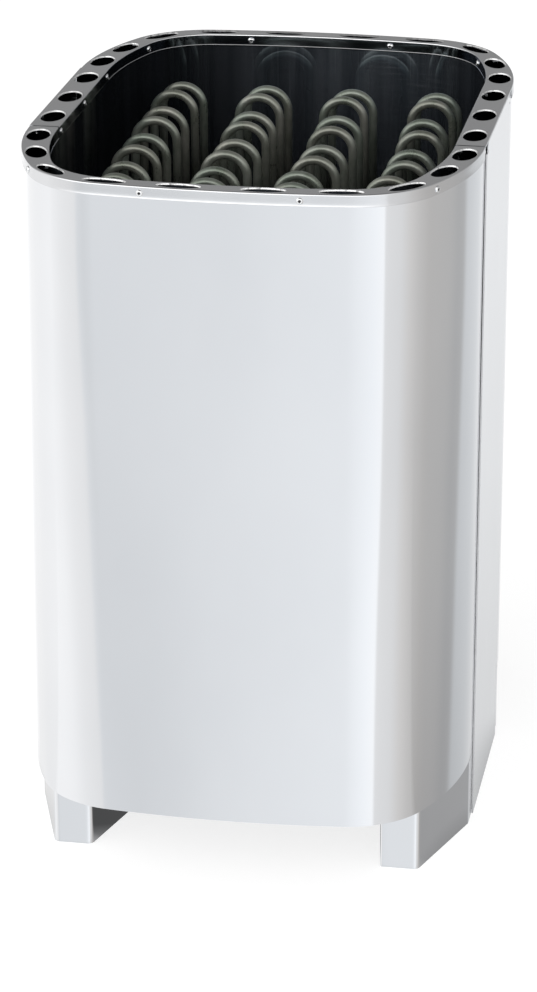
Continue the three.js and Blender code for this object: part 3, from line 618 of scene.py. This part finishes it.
def sheetGrids(outer, inner, low, high, rows, edge, ripple=None, endKind=0):
    # at each station a flat loop goes up the outer face, over the top edge, down the inner face and back;
    # the edges are cut back by a small slope, and the ripple moves both faces along the sheet's normal
    count = len(outer)
    low = np.broadcast_to(low, count).astype(float)
    high = np.broadcast_to(high, count).astype(float)
    across = inner - outer
    sheet = np.linalg.norm(across, axis=1)
    cutBack = (edge / sheet)[:, None]
    steps = np.linspace(0, 1, rows)
    faceZ = low[:, None] + edge + (high - low - 2 * edge)[:, None] * steps
    halfZ = np.concatenate((low[:, None], faceZ, high[:, None]), 1)
    outerShare = np.concatenate((cutBack, np.zeros((count, rows)), cutBack), 1)
    shares = np.stack((outerShare, 1 - outerShare))
    flat = outer[None, :, None] + shares[..., None] * across[None, :, None]
    if ripple is not None:
        normal = -across / sheet[:, None]
        flat = flat + (ripple(np.arange(count) / count, halfZ)[..., None] * normal[:, None])[None]
    sides = raised(flat, np.stack((halfZ, halfZ)))
    loop = np.concatenate((sides[0], sides[1][:, ::-1]), 1)
    ends = [patch(sides[:, end], kind=endKind) for end in (0, -1)]
    return [patch(loop, False, True)] + ends


shellSetup = {
    "inset": 1.8, "sheet": 1.2, "edge": 0.3, "rows": 28, "stations": (14, 34, 22), "ripple": 0.11,
    "swell": ((19, 105, 1.0, 0.0), (31, -71, 0.6, 1.3)),  # waves along, drop, share and start of each swell
    # laps behind the side panels: reach past the seam and height of the top edge there; at the front the
    # upper corner is cut away beside the panel's notch
    "frontLap": ((24, 667.5), (15.3, 667.5), (15.0, 678.2)),
    "rearLap": ((26, 678.2),),
}


def shellGrids(setup, laps):
    # the casing plan drawn in by the rim's fold, its ends running on straight behind the side panels
    point, normal = planAt(casing, fineShares(*setup["stations"]))
    outer, inner = point - normal * setup["inset"], point - normal * (setup["inset"] + setup["sheet"])
    behind = np.array([(0, reach) for reach, _ in laps])
    lapTop = np.array([top for _, top in laps])
    outer = np.concatenate((outer[:1] + behind, outer, outer[-1:] + behind[::-1]))
    inner = np.concatenate((inner[:1] + behind, inner, inner[-1:] + behind[::-1]))
    high = np.concatenate((lapTop, np.full(len(point), level["wallTop"]), lapTop[::-1]))

    def ripple(along, z):
        # slow swell of a thin sheet between its fixed top and bottom edges
        rise = np.sin(np.pi * (z - level["shellLow"]) / (level["wallTop"] - level["shellLow"]))
        swell = sum(
            share * np.sin(waves * along[:, None] + z / drop + start)
            for waves, drop, share, start in setup["swell"]
        )
        return setup["ripple"] * rise * swell

    return sheetGrids(outer, inner, level["shellLow"], high, setup["rows"], setup["edge"], ripple)


frontShell = shellGrids(shellSetup, shellSetup["frontLap"])
rearShell = turned(shellGrids(shellSetup, shellSetup["rearLap"]))
makePiece("frontShell", frontShell, [casingFinish], ["front_shell"])
makePiece("rearShell", rearShell, [casingFinish], ["rear_shell"])

linerSetup = {
    "outset": 1.8, "sheet": 1.2, "gap": 0.15, "edge": 0.25, "rows": 12, "stations": (12, 30, 18),
    "sideStations": 24,
}


def endLinerGrids(setup):
    # the mouth plan pushed out by the inner fold
    point, normal = planAt(mouth, fineShares(*setup["stations"]))
    point[[0, -1], 1] -= setup["gap"]
    face = point + normal * setup["outset"]
    back = point + normal * (setup["outset"] + setup["sheet"])
    return sheetGrids(back, face, level["linerLow"], level["wallTop"], setup["rows"], setup["edge"])


def sideLinerGrids(setup):
    # straight wall from seam to seam
    half = mouth["seam"] - setup["gap"]
    y = np.linspace(-half, half, setup["sideStations"])
    face = np.stack((np.full_like(y, mouth["halfWidth"] + setup["outset"]), y), -1)
    back = face + np.array((setup["sheet"], 0))
    return sheetGrids(back, face, level["linerLow"], level["wallTop"], setup["rows"], setup["edge"])


endLiner = endLinerGrids(linerSetup)
sideLiner = sideLinerGrids(linerSetup)
makePiece("linerFront", endLiner, [linerFinish], ["liner_front"])
makePiece("linerRear", turned(endLiner), [linerFinish], ["liner_rear"])
makePiece("linerRight", sideLiner, [linerFinish], ["liner_right"])
makePiece("linerLeft", turned(sideLiner), [linerFinish], ["liner_left"])
print("shells and liner made")

panelSetup = {
    "sheet": 1.5, "reach": 94, "notch": 9, "notchLow": 668.5, "edge": 0.15, "rows": 30, "stations": 21,
    "hollow": 0.1, "waves": (9, 90), "nick": 0.3,
}


def sidePanelGrids(setup):
    # flat sheet from the floor to the rim, low in its two upper corners
    reach, nick = setup["reach"], setup["nick"]
    notch = reach - setup["notch"]
    marks = (-notch - nick, -notch, notch, notch + nick)
    y = np.sort(np.concatenate((np.linspace(-reach, reach, setup["stations"]), marks)))
    outer = np.stack((np.full_like(y, casing["halfWidth"]), y), -1)
    inner = outer - np.array((setup["sheet"], 0))
    high = np.where(np.abs(y) <= notch + slack, level["wallTop"], setup["notchLow"])

    def ripple(along, z):
        # the sheet is drawn in a little between its edges, in two slow waves
        rise = np.sin(np.pi * np.clip(z / level["wallTop"], 0, 1)) * np.sin(np.pi * along)[:, None]
        waves, drop = setup["waves"]
        return -setup["hollow"] * rise * (1 + np.sin(waves * along[:, None] + z / drop))

    return sheetGrids(outer, inner, 0.0, high, setup["rows"], setup["edge"], ripple, 1)


sidePanel = sidePanelGrids(panelSetup)
# the panels' edge faces take the edge finish that is partly painted seam shade
panelFinishes = [panelFinish, plainFinish["shearedEdgeSeamShade"]]
makePiece("sidePanelRight", sidePanel, panelFinishes, ["side_panel_right"])
makePiece("sidePanelLeft", turned(sidePanel), panelFinishes, ["side_panel_left"])
print("side panels made")

legSetup = {
    "sheet": 1.5, "reach": 116, "inset": 37, "face": 36.5, "back": 83, "splayRight": 0, "splayLeft": 15,
    "foldRight": 2.5, "fold": 6.5, "tuck": 24, "slantFold": 10, "tuckInset": 1.8, "tuckEnd": 85,
    "foldSteps": 12, "top": 67.7, "edge": 0.4, "rows": 8, "tabWidth": 23, "barLow": 80, "barTop": 110,
    "flange": 22, "barFold": 3, "barGap": 0.02, "nick": 0.2,
}


def foldedLine(corners, radii, steps):
    # each inner corner is swapped for an arc that touches both straights; runs get a few stations too
    line = [corners[:1]]
    for before, corner, after, radius in zip(corners, corners[1:], corners[2:], radii):
        back = (before - corner) / np.linalg.norm(before - corner)
        on = (after - corner) / np.linalg.norm(after - corner)
        half = math.acos(np.clip(back @ on, -1, 1)) / 2
        inward = (back + on) / np.linalg.norm(back + on)
        centre = corner + inward * radius / math.sin(half)
        start, end = (corner + way * radius / math.tan(half) - centre for way in (back, on))
        turn = math.atan2(start[0] * end[1] - start[1] * end[0], start @ end) * np.linspace(0, 1, steps)
        arc = np.stack((np.cos(turn), np.sin(turn)), -1)
        side = np.array((-start[1], start[0]))
        line.append(centre + arc[:, :1] * start + arc[:, 1:] * side)
    return np.concatenate(line + [corners[-1:]])


def besideLine(line, distance):
    # the line moved to its left, each point along the mitre of its two neighbours
    run = np.diff(line, axis=0)
    run = run / np.linalg.norm(run, axis=1)[:, None]
    arrive, leave = np.concatenate((run[:1], run)), np.concatenate((run, run[-1:]))
    mitre = arrive + leave
    mitre = mitre / np.linalg.norm(mitre, axis=1)[:, None]
    stretch = (mitre * arrive).sum(1)[:, None]
    return line + np.stack((-mitre[:, 1], mitre[:, 0]), -1) * distance / stretch


def legGrids(setup, splay, innerFold):
    # a strip carried along the plan of a right leg, higher where the tab runs up to the bar
    splay = math.radians(splay)
    face = -casing["seam"] - setup["reach"]
    outerX = casing["halfWidth"] - setup["inset"]
    innerX = outerX - setup["face"]
    tuckX = casing["halfWidth"] - setup["tuckInset"]
    corners = np.array((
        (innerX - setup["back"] * math.sin(splay), face + setup["back"] * math.cos(splay)),
        (innerX, face),
        (outerX, face),
        (tuckX, -panelSetup["reach"] - setup["tuck"]),
        (tuckX, -setup["tuckEnd"]),
    ))
    line = foldedLine(corners, (innerFold, setup["fold"], setup["slantFold"]), setup["foldSteps"])
    middle, half, nick = outerX - setup["face"] / 2, setup["tabWidth"] / 2, setup["nick"]
    marks = middle + np.array((-half - nick, -half, half, half + nick))
    tab = np.stack((marks, np.full(4, face)), -1)
    line = np.insert(line, 1 + setup["foldSteps"], tab, 0)
    onTab = (np.abs(line[:, 0] - middle) <= half + slack) & (line[:, 1] < face + slack)
    high = np.where(onTab, setup["barLow"] - setup["barGap"], setup["top"])
    return sheetGrids(line, besideLine(line, setup["sheet"]), 0.0, high, setup["rows"], setup["edge"])


def legFrameGrids(setup):
    # two legs, the left one mirrored, and between their tabs a bar: an angle section carried across
    right = legGrids(setup, setup["splayRight"], setup["foldRight"])
    left = mirrored(legGrids(setup, setup["splayLeft"], setup["fold"]))
    face = -casing["seam"] - setup["reach"]
    low, top = setup["barLow"], setup["barTop"]
    corners = np.array(((face, low), (face, top), (face + setup["flange"], top)))
    section = foldedLine(corners, (setup["barFold"],), setup["foldSteps"])
    behind = besideLine(section, -setup["sheet"])
    loop = np.concatenate((section, behind[::-1]))
    reach = casing["halfWidth"] - setup["inset"] - setup["face"] / 2 + setup["tabWidth"] / 2
    ends = np.array((-reach, reach))
    across = np.broadcast_to(ends[:, None], (2, len(loop)))[..., None]
    bar = np.concatenate((across, np.broadcast_to(loop, (2, *loop.shape))), -1)
    caps = [patch(np.stack([np.insert(side, 0, end, 1) for side in (section, behind)])) for end in ends]
    return right + left + [patch(bar, False, True)] + caps


legFrame = legFrameGrids(legSetup)
makePiece("frontLegFrame", legFrame, [casingFinish], ["front_leg_frame"])
makePiece("rearLegFrame", turned(legFrame), [casingFinish], ["rear_leg_frame"])
print("leg frames folded")


# rim

rimSetup = {
    "sheet": 1.4, "skirtLow": 668.5, "fold": 1.5, "foldSteps": 8, "edge": 0.2, "hem": 0.2,
    "hemHeight": 1.0, "innerHemHeight": 0.7, "sideHem": 0.02,
    "gap": 1.1, "across": 8, "slotLength": 40.5, "slotMargin": 3.0, "slotSteps": (30, 58, 61, 62, 68.5),
    "cellHalf": 24, "cellSteps": 22, "stripSteps": 5,
    "sideSlots": (-72.67, 0, 72.67), "hiddenInset": 1.8, "hiddenHalf": 62, "hair": 0.005,
    "nickGrow": 1.003, "endGap": 0.2, "planSamples": 9001, "tangentStep": 1,
    "ledgeEdge": 0.3, "ledgeSteps": (0.1, 0.5, 0.3, 0.2),  # step, flat, bevel and foot of the plain edge
    "ringShares": (1, 0.72, 0.45, 0.2, 0.04, 0),  # rings between the side of a cell and its slot
    # section of a slot's pressed edge, from the plate down and back: out from the oval, and depth
    "slotCollar": (
        (0.4, 0), (0.32, 0.015), (0.24, 0.07), (0.18, 0.16), (-0.08, 0.72), (-0.34, 1.28), (-0.24, 1.36),
        (0.3, 1.38), (0.6, 1.4),
    ),
}


def lipProfile(setup, hemHeight, hem):
    # from the lower edge of a skirt over its small flared hem, up its face and round the fold to the plate,
    # as (inset, height); the second list is the other face of the same sheet, point for point
    top, sheet, fold, edge = level["rimTop"], setup["sheet"], setup["fold"], setup["edge"]
    turn = np.linspace(0, math.pi / 2, setup["foldSteps"])
    arc = np.stack((1 - np.cos(turn), np.sin(turn) - 1), -1)
    low, hemTop = setup["skirtLow"], setup["skirtLow"] + hemHeight
    middle = (low + top) / 2
    skirt = np.array(((edge, low), (0, low + edge), (0, low + 2 * edge), (hem, hemTop), (hem, middle)))
    face = np.concatenate((skirt, arc * fold + np.array((hem, top))))
    inside = hem + sheet
    behind = np.array((
        (inside - edge, low), (inside, low + edge), (inside, low + 2 * edge), (inside, hemTop),
        (inside, middle),
    ))
    back = np.concatenate((behind, arc * (fold - sheet) + np.array((inside, top - sheet))))
    return face, back


def ledgeProfile(setup):
    # beside a panel the plate ends in a plain edge over it, with a skirt hidden behind it;
    # as many points as the other profile has
    top, sheet, inset = level["rimTop"], setup["sheet"], setup["hiddenInset"]
    low, under, edge = setup["skirtLow"], top - sheet, setup["ledgeEdge"]
    step, flat, bevel, foot = setup["ledgeSteps"]
    plate = setup["hem"] + setup["fold"]
    behind, half = inset + sheet, (low + under) / 2
    face = np.array((
        (inset, low), (inset, half), (inset, under - step), (inset, under), (edge, under),
        (0, under + edge), (0, under + flat), (0, top - flat), (0, top - edge),
        (edge * bevel, top - edge * bevel), (edge, top), ((edge + plate) / 2, top), (plate, top),
    ))
    back = np.repeat(np.array(((behind + foot, under),)), len(face), 0)
    back[:4] = ((behind, low), (behind, half), (behind, under - step), (behind, under))
    return face, back


def slotCell(outer, inner, first, last, across, centre, along, halfSize, setup):
    # ring grid between an oval and the four sides of its cell, on the top face, then the pressed edge as
    # rings that follow its section, and back along the underside
    steps = np.linspace(0, 1, across + 1)[1:-1, None]
    far = outer[last] + steps * (inner[last] - outer[last])
    near = inner[first] + steps * (outer[first] - inner[first])
    border = np.concatenate((outer[first:last + 1], far, inner[first:last + 1][::-1], near))
    aside = np.array((-along[1], along[0]))
    reach = border - centre
    turn = np.arctan2(reach @ aside / halfSize[1], reach @ along / halfSize[0])

    def oval(grow):
        return (centre + np.cos(turn)[:, None] * along * (halfSize[0] + grow)
                + np.sin(turn)[:, None] * aside * (halfSize[1] + grow))

    collar = setup["slotCollar"]
    top, under = level["rimTop"], level["rimTop"] - setup["sheet"]
    lip, foot = oval(collar[0][0]), oval(collar[-1][0])
    shares = setup["ringShares"]
    topRings = np.stack([raised(lip + share * (border - lip), top) for share in shares])
    wallRings = np.stack([raised(oval(grow), top - depth) for grow, depth in collar])
    underRings = np.stack([raised(foot + share * (border - foot), under) for share in shares[::-1]])
    return [patch(topRings, False, True), patch(wallRings, False, True, 1), patch(underRings, False, True)]


def rimGrids(outer, outerOut, inner, innerOut, cells, outerLip, innerLip, setup, lowEdge=None):
    # both lips are profiles carried along the edges of the band, with strips and slot cells between them
    grids = []
    borders = []
    for point, out, lip, way in ((outer, outerOut, outerLip, -1), (inner, innerOut, innerLip, 1)):
        sides = []
        for profile in lip:
            flat = point[:, None] + way * out[:, None] * profile[None, :, :1]
            height = np.repeat(profile[None, :, 1], len(point), 0)
            if lowEdge is not None and way < 0:
                height[:, 0] = lowEdge
                height[:, 1] = (lowEdge + profile[3, 1]) / 2
            sides.append(raised(flat, height))
        face, back = sides
        # the inner skirts take the finish that is painted darker and bluer as shade
        skirtKind = 2 if way > 0 else 0
        grids += [patch(face[:, :4]), patch(face[:, 3:6], kind=skirtKind), patch(face[:, 5:])]
        grids += [patch(back), patch(np.stack((face[:, 0], back[:, 0]), 1))]
        grids += [patch(np.stack((face[i], back[i]))) for i in (0, -1)]
        borders.append((face[:, -1, :2], back[:, -1, :2]))
    across = setup["across"]
    steps = np.linspace(0, 1, across + 1)[:, None]
    plate = borders[0][0], borders[1][0]
    heights = level["rimTop"], level["rimTop"] - setup["sheet"]
    under = borders[0][1], borders[1][1]
    done = 0
    for first, last, centre, along, halfSize in cells + [(len(outer) - 1, None, None, None, None)]:
        for (a, b), z in zip((plate, under), heights):
            strip = a[done:first + 1, None] + steps[None] * (b - a)[done:first + 1, None]
            grids.append(patch(raised(strip, z)))
        if last is not None:
            grids += slotCell(plate[0], plate[1], first, last, across, centre, along, halfSize, setup)
            done = last
    for end in (0, -1):
        pair = [raised(a[end] + steps * (b[end] - a[end]), z) for (a, b), z in zip((plate, under), heights)]
        grids.append(patch(np.stack(pair)))
    return grids


def bandStations(length, middles, setup):
    # distances along the band: even steps inside each slot's cell, a few between cells
    marks, cells, done = [], [], 0.0
    for middle in middles:
        low, high = middle - setup["cellHalf"], middle + setup["cellHalf"]
        marks.append(np.linspace(done, low, setup["stripSteps"])[:-1])
        first = sum(map(len, marks))
        marks.append(np.linspace(low, high, setup["cellSteps"] + 1)[:-1])
        cells.append((first, first + setup["cellSteps"]))
        done = high
    marks.append(np.linspace(done, length, setup["stripSteps"]))
    return np.concatenate(marks), cells


def endRimGrids(setup, gap):
    # band between the casing plan and the mouth plan, measured along its middle line
    fine = np.linspace(0, 6, setup["planSamples"])
    middle = (planAt(casing, fine)[0] + planAt(mouth, fine)[0]) / 2
    run = np.concatenate(((0,), np.cumsum(np.linalg.norm(np.diff(middle, axis=0), axis=1))))
    half = np.cumsum(setup["slotSteps"])
    middles = np.concatenate((half, run[-1] - half[::-1]))
    marks, spans = bandStations(run[-1], middles, setup)
    share = np.interp(marks, run, fine)
    outer, outerOut = planAt(casing, share)
    inner, innerOut = planAt(mouth, share)
    outer[[0, -1], 1] -= gap
    inner[[0, -1], 1] -= gap
    cells, step = [], setup["tangentStep"]
    for mark, (first, last) in zip(middles, spans):
        spot = np.interp((mark - step, mark, mark + step), run, fine)
        ends, mouths = planAt(casing, spot)[0], planAt(mouth, spot)[0]
        line = (ends + mouths) / 2
        along = (line[2] - line[0]) / np.linalg.norm(line[2] - line[0])
        width = np.linalg.norm(ends[1] - mouths[1]) - 2 * setup["slotMargin"]
        cells.append((first, last, line[1], along, (setup["slotLength"] / 2, width / 2)))
    lips = [lipProfile(setup, setup[height], setup["hem"]) for height in ("hemHeight", "innerHemHeight")]
    return rimGrids(outer, outerOut, inner, innerOut, cells, *lips, setup)


def sideRimGrids(setup):
    # the same band, straight
    half = casing["seam"]
    marks, spans = bandStations(2 * half, np.array(setup["sideSlots"]) + half, setup)
    y = marks - half
    nick = np.array((-1, 1)) * setup["hiddenHalf"]
    y = np.sort(np.concatenate((y, nick, nick * setup["nickGrow"])))
    spans = [tuple(np.abs(y - (marks[i] - half)).argmin() for i in span) for span in spans]
    y[0] += setup["gap"]
    y[-1] -= setup["hair"]
    out = np.repeat(np.array(((1.0, 0.0),)), len(y), 0)
    outer = np.stack((np.full_like(y, casing["halfWidth"]), y), -1)
    inner = np.stack((np.full_like(y, mouth["halfWidth"]), y), -1)
    width = casing["halfWidth"] - mouth["halfWidth"]
    middleX = (casing["halfWidth"] + mouth["halfWidth"]) / 2
    size = (setup["slotLength"] / 2, width / 2 - setup["slotMargin"])
    cells = [
        (first, last, np.array((middleX, slot)), np.array((0.0, 1.0)), size)
        for slot, (first, last) in zip(setup["sideSlots"], spans)
    ]
    under = level["rimTop"] - setup["sheet"]
    hidden = np.abs(y) <= setup["hiddenHalf"] + slack
    lowEdge = np.where(hidden, setup["skirtLow"], under - setup["endGap"])
    lips = ledgeProfile(setup), lipProfile(setup, setup["innerHemHeight"], setup["sideHem"])
    return rimGrids(outer, out, inner, out, cells, *lips, setup, lowEdge)


frontRim = endRimGrids(rimSetup, rimSetup["gap"])
rearRim = turned(endRimGrids(rimSetup, 0))
sideRim = sideRimGrids(rimSetup)
otherSide = mirrored(sideRim)
rimFinishes = [rimFinish, cutFinish, paintedShadeSkirtFinish]
makePiece("rimFront", frontRim, rimFinishes, ["rim_front"])
makePiece("rimRear", rearRim + sideRim + otherSide, rimFinishes, ["rim_rear"])
print("rim made")


# rivets

rivetSetup = {
    "head": 3.3, "dome": 1.6, "rimEdge": 0.35, "stemHole": 1.3, "stem": 0.8, "stemSunk": 0.7,
    "shank": 1.4, "tail": 2.2, "tailLength": 2.5, "drop": 6.4, "sides": 28, "crease": 40,
    "lift": 0.05, "crownSteps": 9, "crownGap": 0.25, "holeEdge": 0.2, "holeDeep": 0.3,
    "stemTop": ((0.6, 0.12), (0, 0.15)),  # share of the stem's radius, and height above its edge
    "bowReach": 71.5, "outerCorner": 28, "innerCorner": 18, "sideReach": 101, "grip": 3.3,
    "seatRange": (0.02, 5.98, 6000),  # first and last share of the plan, and how many are tried
}


def rivetGrids(seat, out, setup):
    # lathe profile (radius, height above the skirt) turned about the seat's normal: tail, shank, domed head,
    # then down into the hole round the broken stem
    head, dome, hole, stem = setup["head"], setup["dome"], setup["stemHole"], setup["stem"]
    arc = np.linspace(0, 1, setup["crownSteps"])
    crown = np.stack((
        head + (hole + setup["crownGap"] - head) * arc,
        setup["rimEdge"] + (dome - setup["rimEdge"]) * np.sin(arc * math.pi / 2),
    ), -1)
    end = -setup["grip"] - setup["tailLength"]
    sunk, lift = dome - setup["stemSunk"], setup["lift"]
    edge, foot = dome - setup["holeEdge"], sunk - setup["holeDeep"]
    body = np.concatenate((
        ((0, end), (setup["tail"], end), (setup["tail"], -setup["grip"]), (setup["shank"], -setup["grip"])),
        ((setup["shank"], lift), (head, lift)),
        crown,
        ((hole, edge),),
    ))
    # the core, hole wall and stem, takes the near-black finish that paints the hole's shade
    core = np.array((
        (hole, edge), (hole, foot), (stem, foot), (stem, sunk),
        *((stem * share, sunk + rise) for share, rise in setup["stemTop"]),
    ))
    turn = np.linspace(0, 2 * math.pi, setup["sides"], endpoint=False)
    flatOut = np.array((*out, 0.0))
    beside = np.array((-out[1], out[0], 0.0))
    up = np.array((0.0, 0.0, 1.0))
    ring = np.cos(turn)[:, None] * beside + np.sin(turn)[:, None] * up
    middle = np.array((*seat, level["rimTop"] - setup["drop"])) - flatOut * rimSetup["hem"]
    return [
        patch(middle + profile[:, None, 1:] * flatOut + profile[:, None, :1] * ring[None], False, True, kind)
        for kind, profile in enumerate((body, core))
    ]


def seatAcross(plan, x, tried):
    # the place on the bowed end that stands nearest to that distance across
    point, normal = planAt(plan, np.linspace(*tried))
    nearest = np.abs(point[:, 0] - x).argmin()
    return point[nearest], normal[nearest]


def rivetSeats(setup):
    # seats on the bowed ends by their distance across, on the sides by their distance along; the second value
    # turns them to the rear or to the left
    outerX = casing["halfWidth"] - setup["outerCorner"]
    innerX = mouth["halfWidth"] - setup["innerCorner"]
    bow, tried = setup["bowReach"], setup["seatRange"]
    outerSeats = [seatAcross(casing, x, tried) for x in (outerX, bow, -bow, -outerX)]
    innerSeats = [seatAcross(mouth, x, tried) for x in (innerX, bow, -bow, -innerX)]
    innerSeats = [(point, -normal) for point, normal in innerSeats]
    reach = setup["sideReach"]
    sideSeats = [(np.array((mouth["halfWidth"], y)), np.array((-1.0, 0.0))) for y in (-reach, 0, reach)]
    return {
        "front_outer": (outerSeats, 1), "rear_outer": (outerSeats, -1),
        "front_inner": (innerSeats, 1), "rear_inner": (innerSeats, -1),
        "right_inner": (sideSeats, 1), "left_inner": (sideSeats, -1),
    }


rivetFinishes = [plainFinish["rivetSteel"], plainFinish["rivetStemHoleShade"]]
for place, (seats, way) in rivetSeats(rivetSetup).items():
    for number, (seat, out) in enumerate(seats, 1):
        name = "rivet" + place.title().replace("_", "") + str(number)
        node = f"rivet_{place}_{number}"
        grids = rivetGrids(seat * way, out * way, rivetSetup)
        makePiece(name, grids, rivetFinishes, [node], rivetSetup["crease"])
print("rivets set")


# heating elements

elementSetup = {
    "rowPitch": 86, "placePitch": 104.5, "shift": 34, "archSpan": 41.5, "pairSpan": 38, "tube": 4.25,
    "archSpring": 620.5, "bendSpring": 223.25, "sides": 24, "archSteps": 22, "bendSteps": 18, "legSteps": 9,
    "pinLow": 156.3, "bushLow": 175.3, "seat": 190.3, "collarTop": 197.3,
    "pin": 2.0, "bush": 6.0, "collar": 8.0, "endEdge": 0.6, "weld": 0.5,
    "collarEdges": (0.7, 0.8, 1.3, 0.6),  # inset at the foot, drop and inset at the top, hexagon left there
    # how far each arch leans across, and front to back, front arch first, for each row from the left
    "leanAcross": (
        (3.0, 3.5, 1.1, 1.8, -0.9, 0.0, -3.1, 0.0),
        (2.8, 3.2, 2.4, 5.2, 1.9, 2.4, -2.7, 0.6),
        (-3.0, -3.8, 2.3, 4.0, 1.8, 1.9, -4.0, 0.8),
        (-4.0, -4.7, 2.9, 3.1, 2.6, 0.2, -1.7, 0.4),
    ),
    "leanDeep": (
        (8.0, 9.9, 1.7, 4.6, 1.2, 0.4, -0.4, -6.9),
        (6.5, 6.8, -3.3, -0.4, -2.3, -3.3, -0.3, -6.9),
        (5.5, 5.4, -7.9, -6.9, -5.6, -4.8, 2.1, -6.9),
        (4.5, 3.9, -9.4, -8.7, -6.5, -2.3, 4.6, -6.9),
    ),
    "leanFrom": 225, "leanPower": 1.6,
}


def elementLine(setup):
    # centre line of one element about its own middle: terminal, arch, lower bend, arch, terminal;
    # also the two side directions of its section, its radius, how hexagonal it is, and which arch it is in
    x, y = setup["archSpan"] / 2, setup["pairSpan"] / 2
    pin, bush, collar, tube = (setup[key] for key in ("pin", "bush", "collar", "tube"))
    pinLow, bushLow, seat, top = (setup[key] for key in ("pinLow", "bushLow", "seat", "collarTop"))
    edge, weld = setup["endEdge"], setup["weld"]
    inset, drop, topInset, topHex = setup["collarEdges"]
    ends = [
        (pinLow, 0, 0), (pinLow, pin, 0), (bushLow, pin, 0), (bushLow, bush - edge, 0),
        (bushLow + edge, bush, 0), (seat, bush, 0), (seat, collar - inset, 1), (seat + edge, collar, 1),
        (top - drop, collar, 1), (top, collar - topInset, topHex),
        (top, tube + weld, 0), (top + edge, tube, 0),
    ]
    endZ, endRadius, endHex = (np.array(values) for values in zip(*ends))
    leg = np.linspace(endZ[-1], setup["archSpring"], setup["legSteps"])[1:-1]
    arch = np.linspace(0, math.pi, setup["archSteps"])
    bend = np.linspace(0, math.pi, setup["bendSteps"])
    far = np.linspace(setup["archSpring"], setup["bendSpring"], setup["legSteps"])[1:-1]

    def column(flatX, flatY, z):
        return np.stack((np.full_like(z, flatX), np.full_like(z, flatY), z), -1)

    archLine = np.stack((-x * np.cos(arch), np.zeros_like(arch), setup["archSpring"] + x * np.sin(arch)), -1)
    bendHeight = setup["bendSpring"] - y * np.sin(bend)
    bendLine = np.stack((np.full_like(bend, x), -y * np.cos(bend), bendHeight), -1)
    front = np.concatenate((
        column(-x, 0, endZ.astype(float)), column(-x, 0, leg), archLine, column(x, 0, far),
    ))
    archAlong = np.stack((np.sin(arch), np.zeros_like(arch), np.cos(arch)), -1)
    bendAlong = np.stack((np.zeros_like(bend), np.sin(bend), -np.cos(bend)), -1)
    up = np.array((0.0, 0.0, 1.0))
    frontAlong = np.concatenate((
        np.repeat(up[None], len(endZ) + len(leg), 0), archAlong, np.repeat(-up[None], len(far), 0),
    ))
    line = np.concatenate((front + (0, -y, 0), bendLine, front[::-1] + (0, y, 0)))
    along = np.concatenate((frontAlong, bendAlong, -frontAlong[::-1]))
    frontSide = np.repeat(np.array(((0.0, 1.0, 0.0),)), len(front), 0)
    first = np.concatenate((
        np.cross(frontSide, frontAlong), np.repeat(np.array(((-1.0, 0, 0),)), len(bend), 0),
        np.cross(-frontSide, -frontAlong[::-1]),
    ))
    second = np.concatenate((frontSide, np.cross(bendAlong, (-1.0, 0, 0)), -frontSide))
    plain = len(leg) + len(arch) + len(far)
    radius = np.concatenate((endRadius, np.full(plain, tube)))
    radius = np.concatenate((radius, np.full(len(bend), tube), radius[::-1]))
    hexagon = np.concatenate((endHex, np.zeros(plain)))
    hexagon = np.concatenate((hexagon, np.zeros(len(bend)), hexagon[::-1]))
    whole = len(front)
    back = np.concatenate((np.zeros(whole), 0.5 - 0.5 * np.cos(bend), np.ones(whole)))
    return line, first, second, radius, hexagon, back


def elementGrids(middle, leanFront, leanBack, setup):
    # rings of the section carried along the centre line, which leans more the higher it stands
    line, first, second, radius, hexagon, back = elementLine(setup)
    base = setup["leanFrom"]
    rise = np.clip((line[:, 2] - base) / (setup["archSpring"] - base), 0, 1) ** setup["leanPower"]
    lean = np.array(leanFront) + back[:, None] * (np.array(leanBack) - np.array(leanFront))
    shifted = line.copy()
    shifted[:, :2] += middle + rise[:, None] * lean
    turn = np.linspace(0, 2 * math.pi, setup["sides"], endpoint=False)
    sixth = math.pi / 3
    flats = math.cos(sixth / 2) / np.cos(np.mod(turn, sixth) - sixth / 2)
    reach = radius[:, None] * (1 + hexagon[:, None] * (flats - 1))
    ring = np.cos(turn)[None, :, None] * first[:, None] + np.sin(turn)[None, :, None] * second[:, None]
    return [patch(shifted[:, None] + reach[..., None] * ring, False, True)]


def fitElements(setup):
    # rows and places stand at their pitch about the middle; each element takes the leans of its two arches
    across, deep = setup["leanAcross"], setup["leanDeep"]
    rows, places = len(across), len(across[0]) // 2
    for row in range(rows):
        for place in range(places):
            x = (row - (rows - 1) / 2) * setup["rowPitch"]
            y = (place - (places - 1) / 2) * setup["placePitch"] + setup["shift"]
            leans = [(across[row][arch], deep[row][arch]) for arch in (2 * place, 2 * place + 1)]
            grids = elementGrids((x, y), *leans, setup)
            name = f"heatingElementRow{row + 1}Place{place + 1}"
            node = f"heating_element_row{row + 1}_{place + 1}"
            makePiece(name, grids, [sheathFinish], [node])


fitElements(elementSetup)
print("heating elements fitted")


# inner pieces whose solids already have their shape

innerFinishes = {
    "compartment_floor": sootyFinish,
    "wiring_box": zincFinish,
    "wiring_box_cover": zincFinish,
    "floor_heat_shield": zincFinish,
    "terminal_block": plainFinish["blockCeramic"],
    "neutral_link_plate": plainFinish["linkBrass"],
    "cable_gland": plainFinish["glandPlastic"],
}
for node, finish in innerFinishes.items():
    nodes[node].data.materials.clear()
    nodes[node].data.materials.append(finish)
print("inner pieces finished")
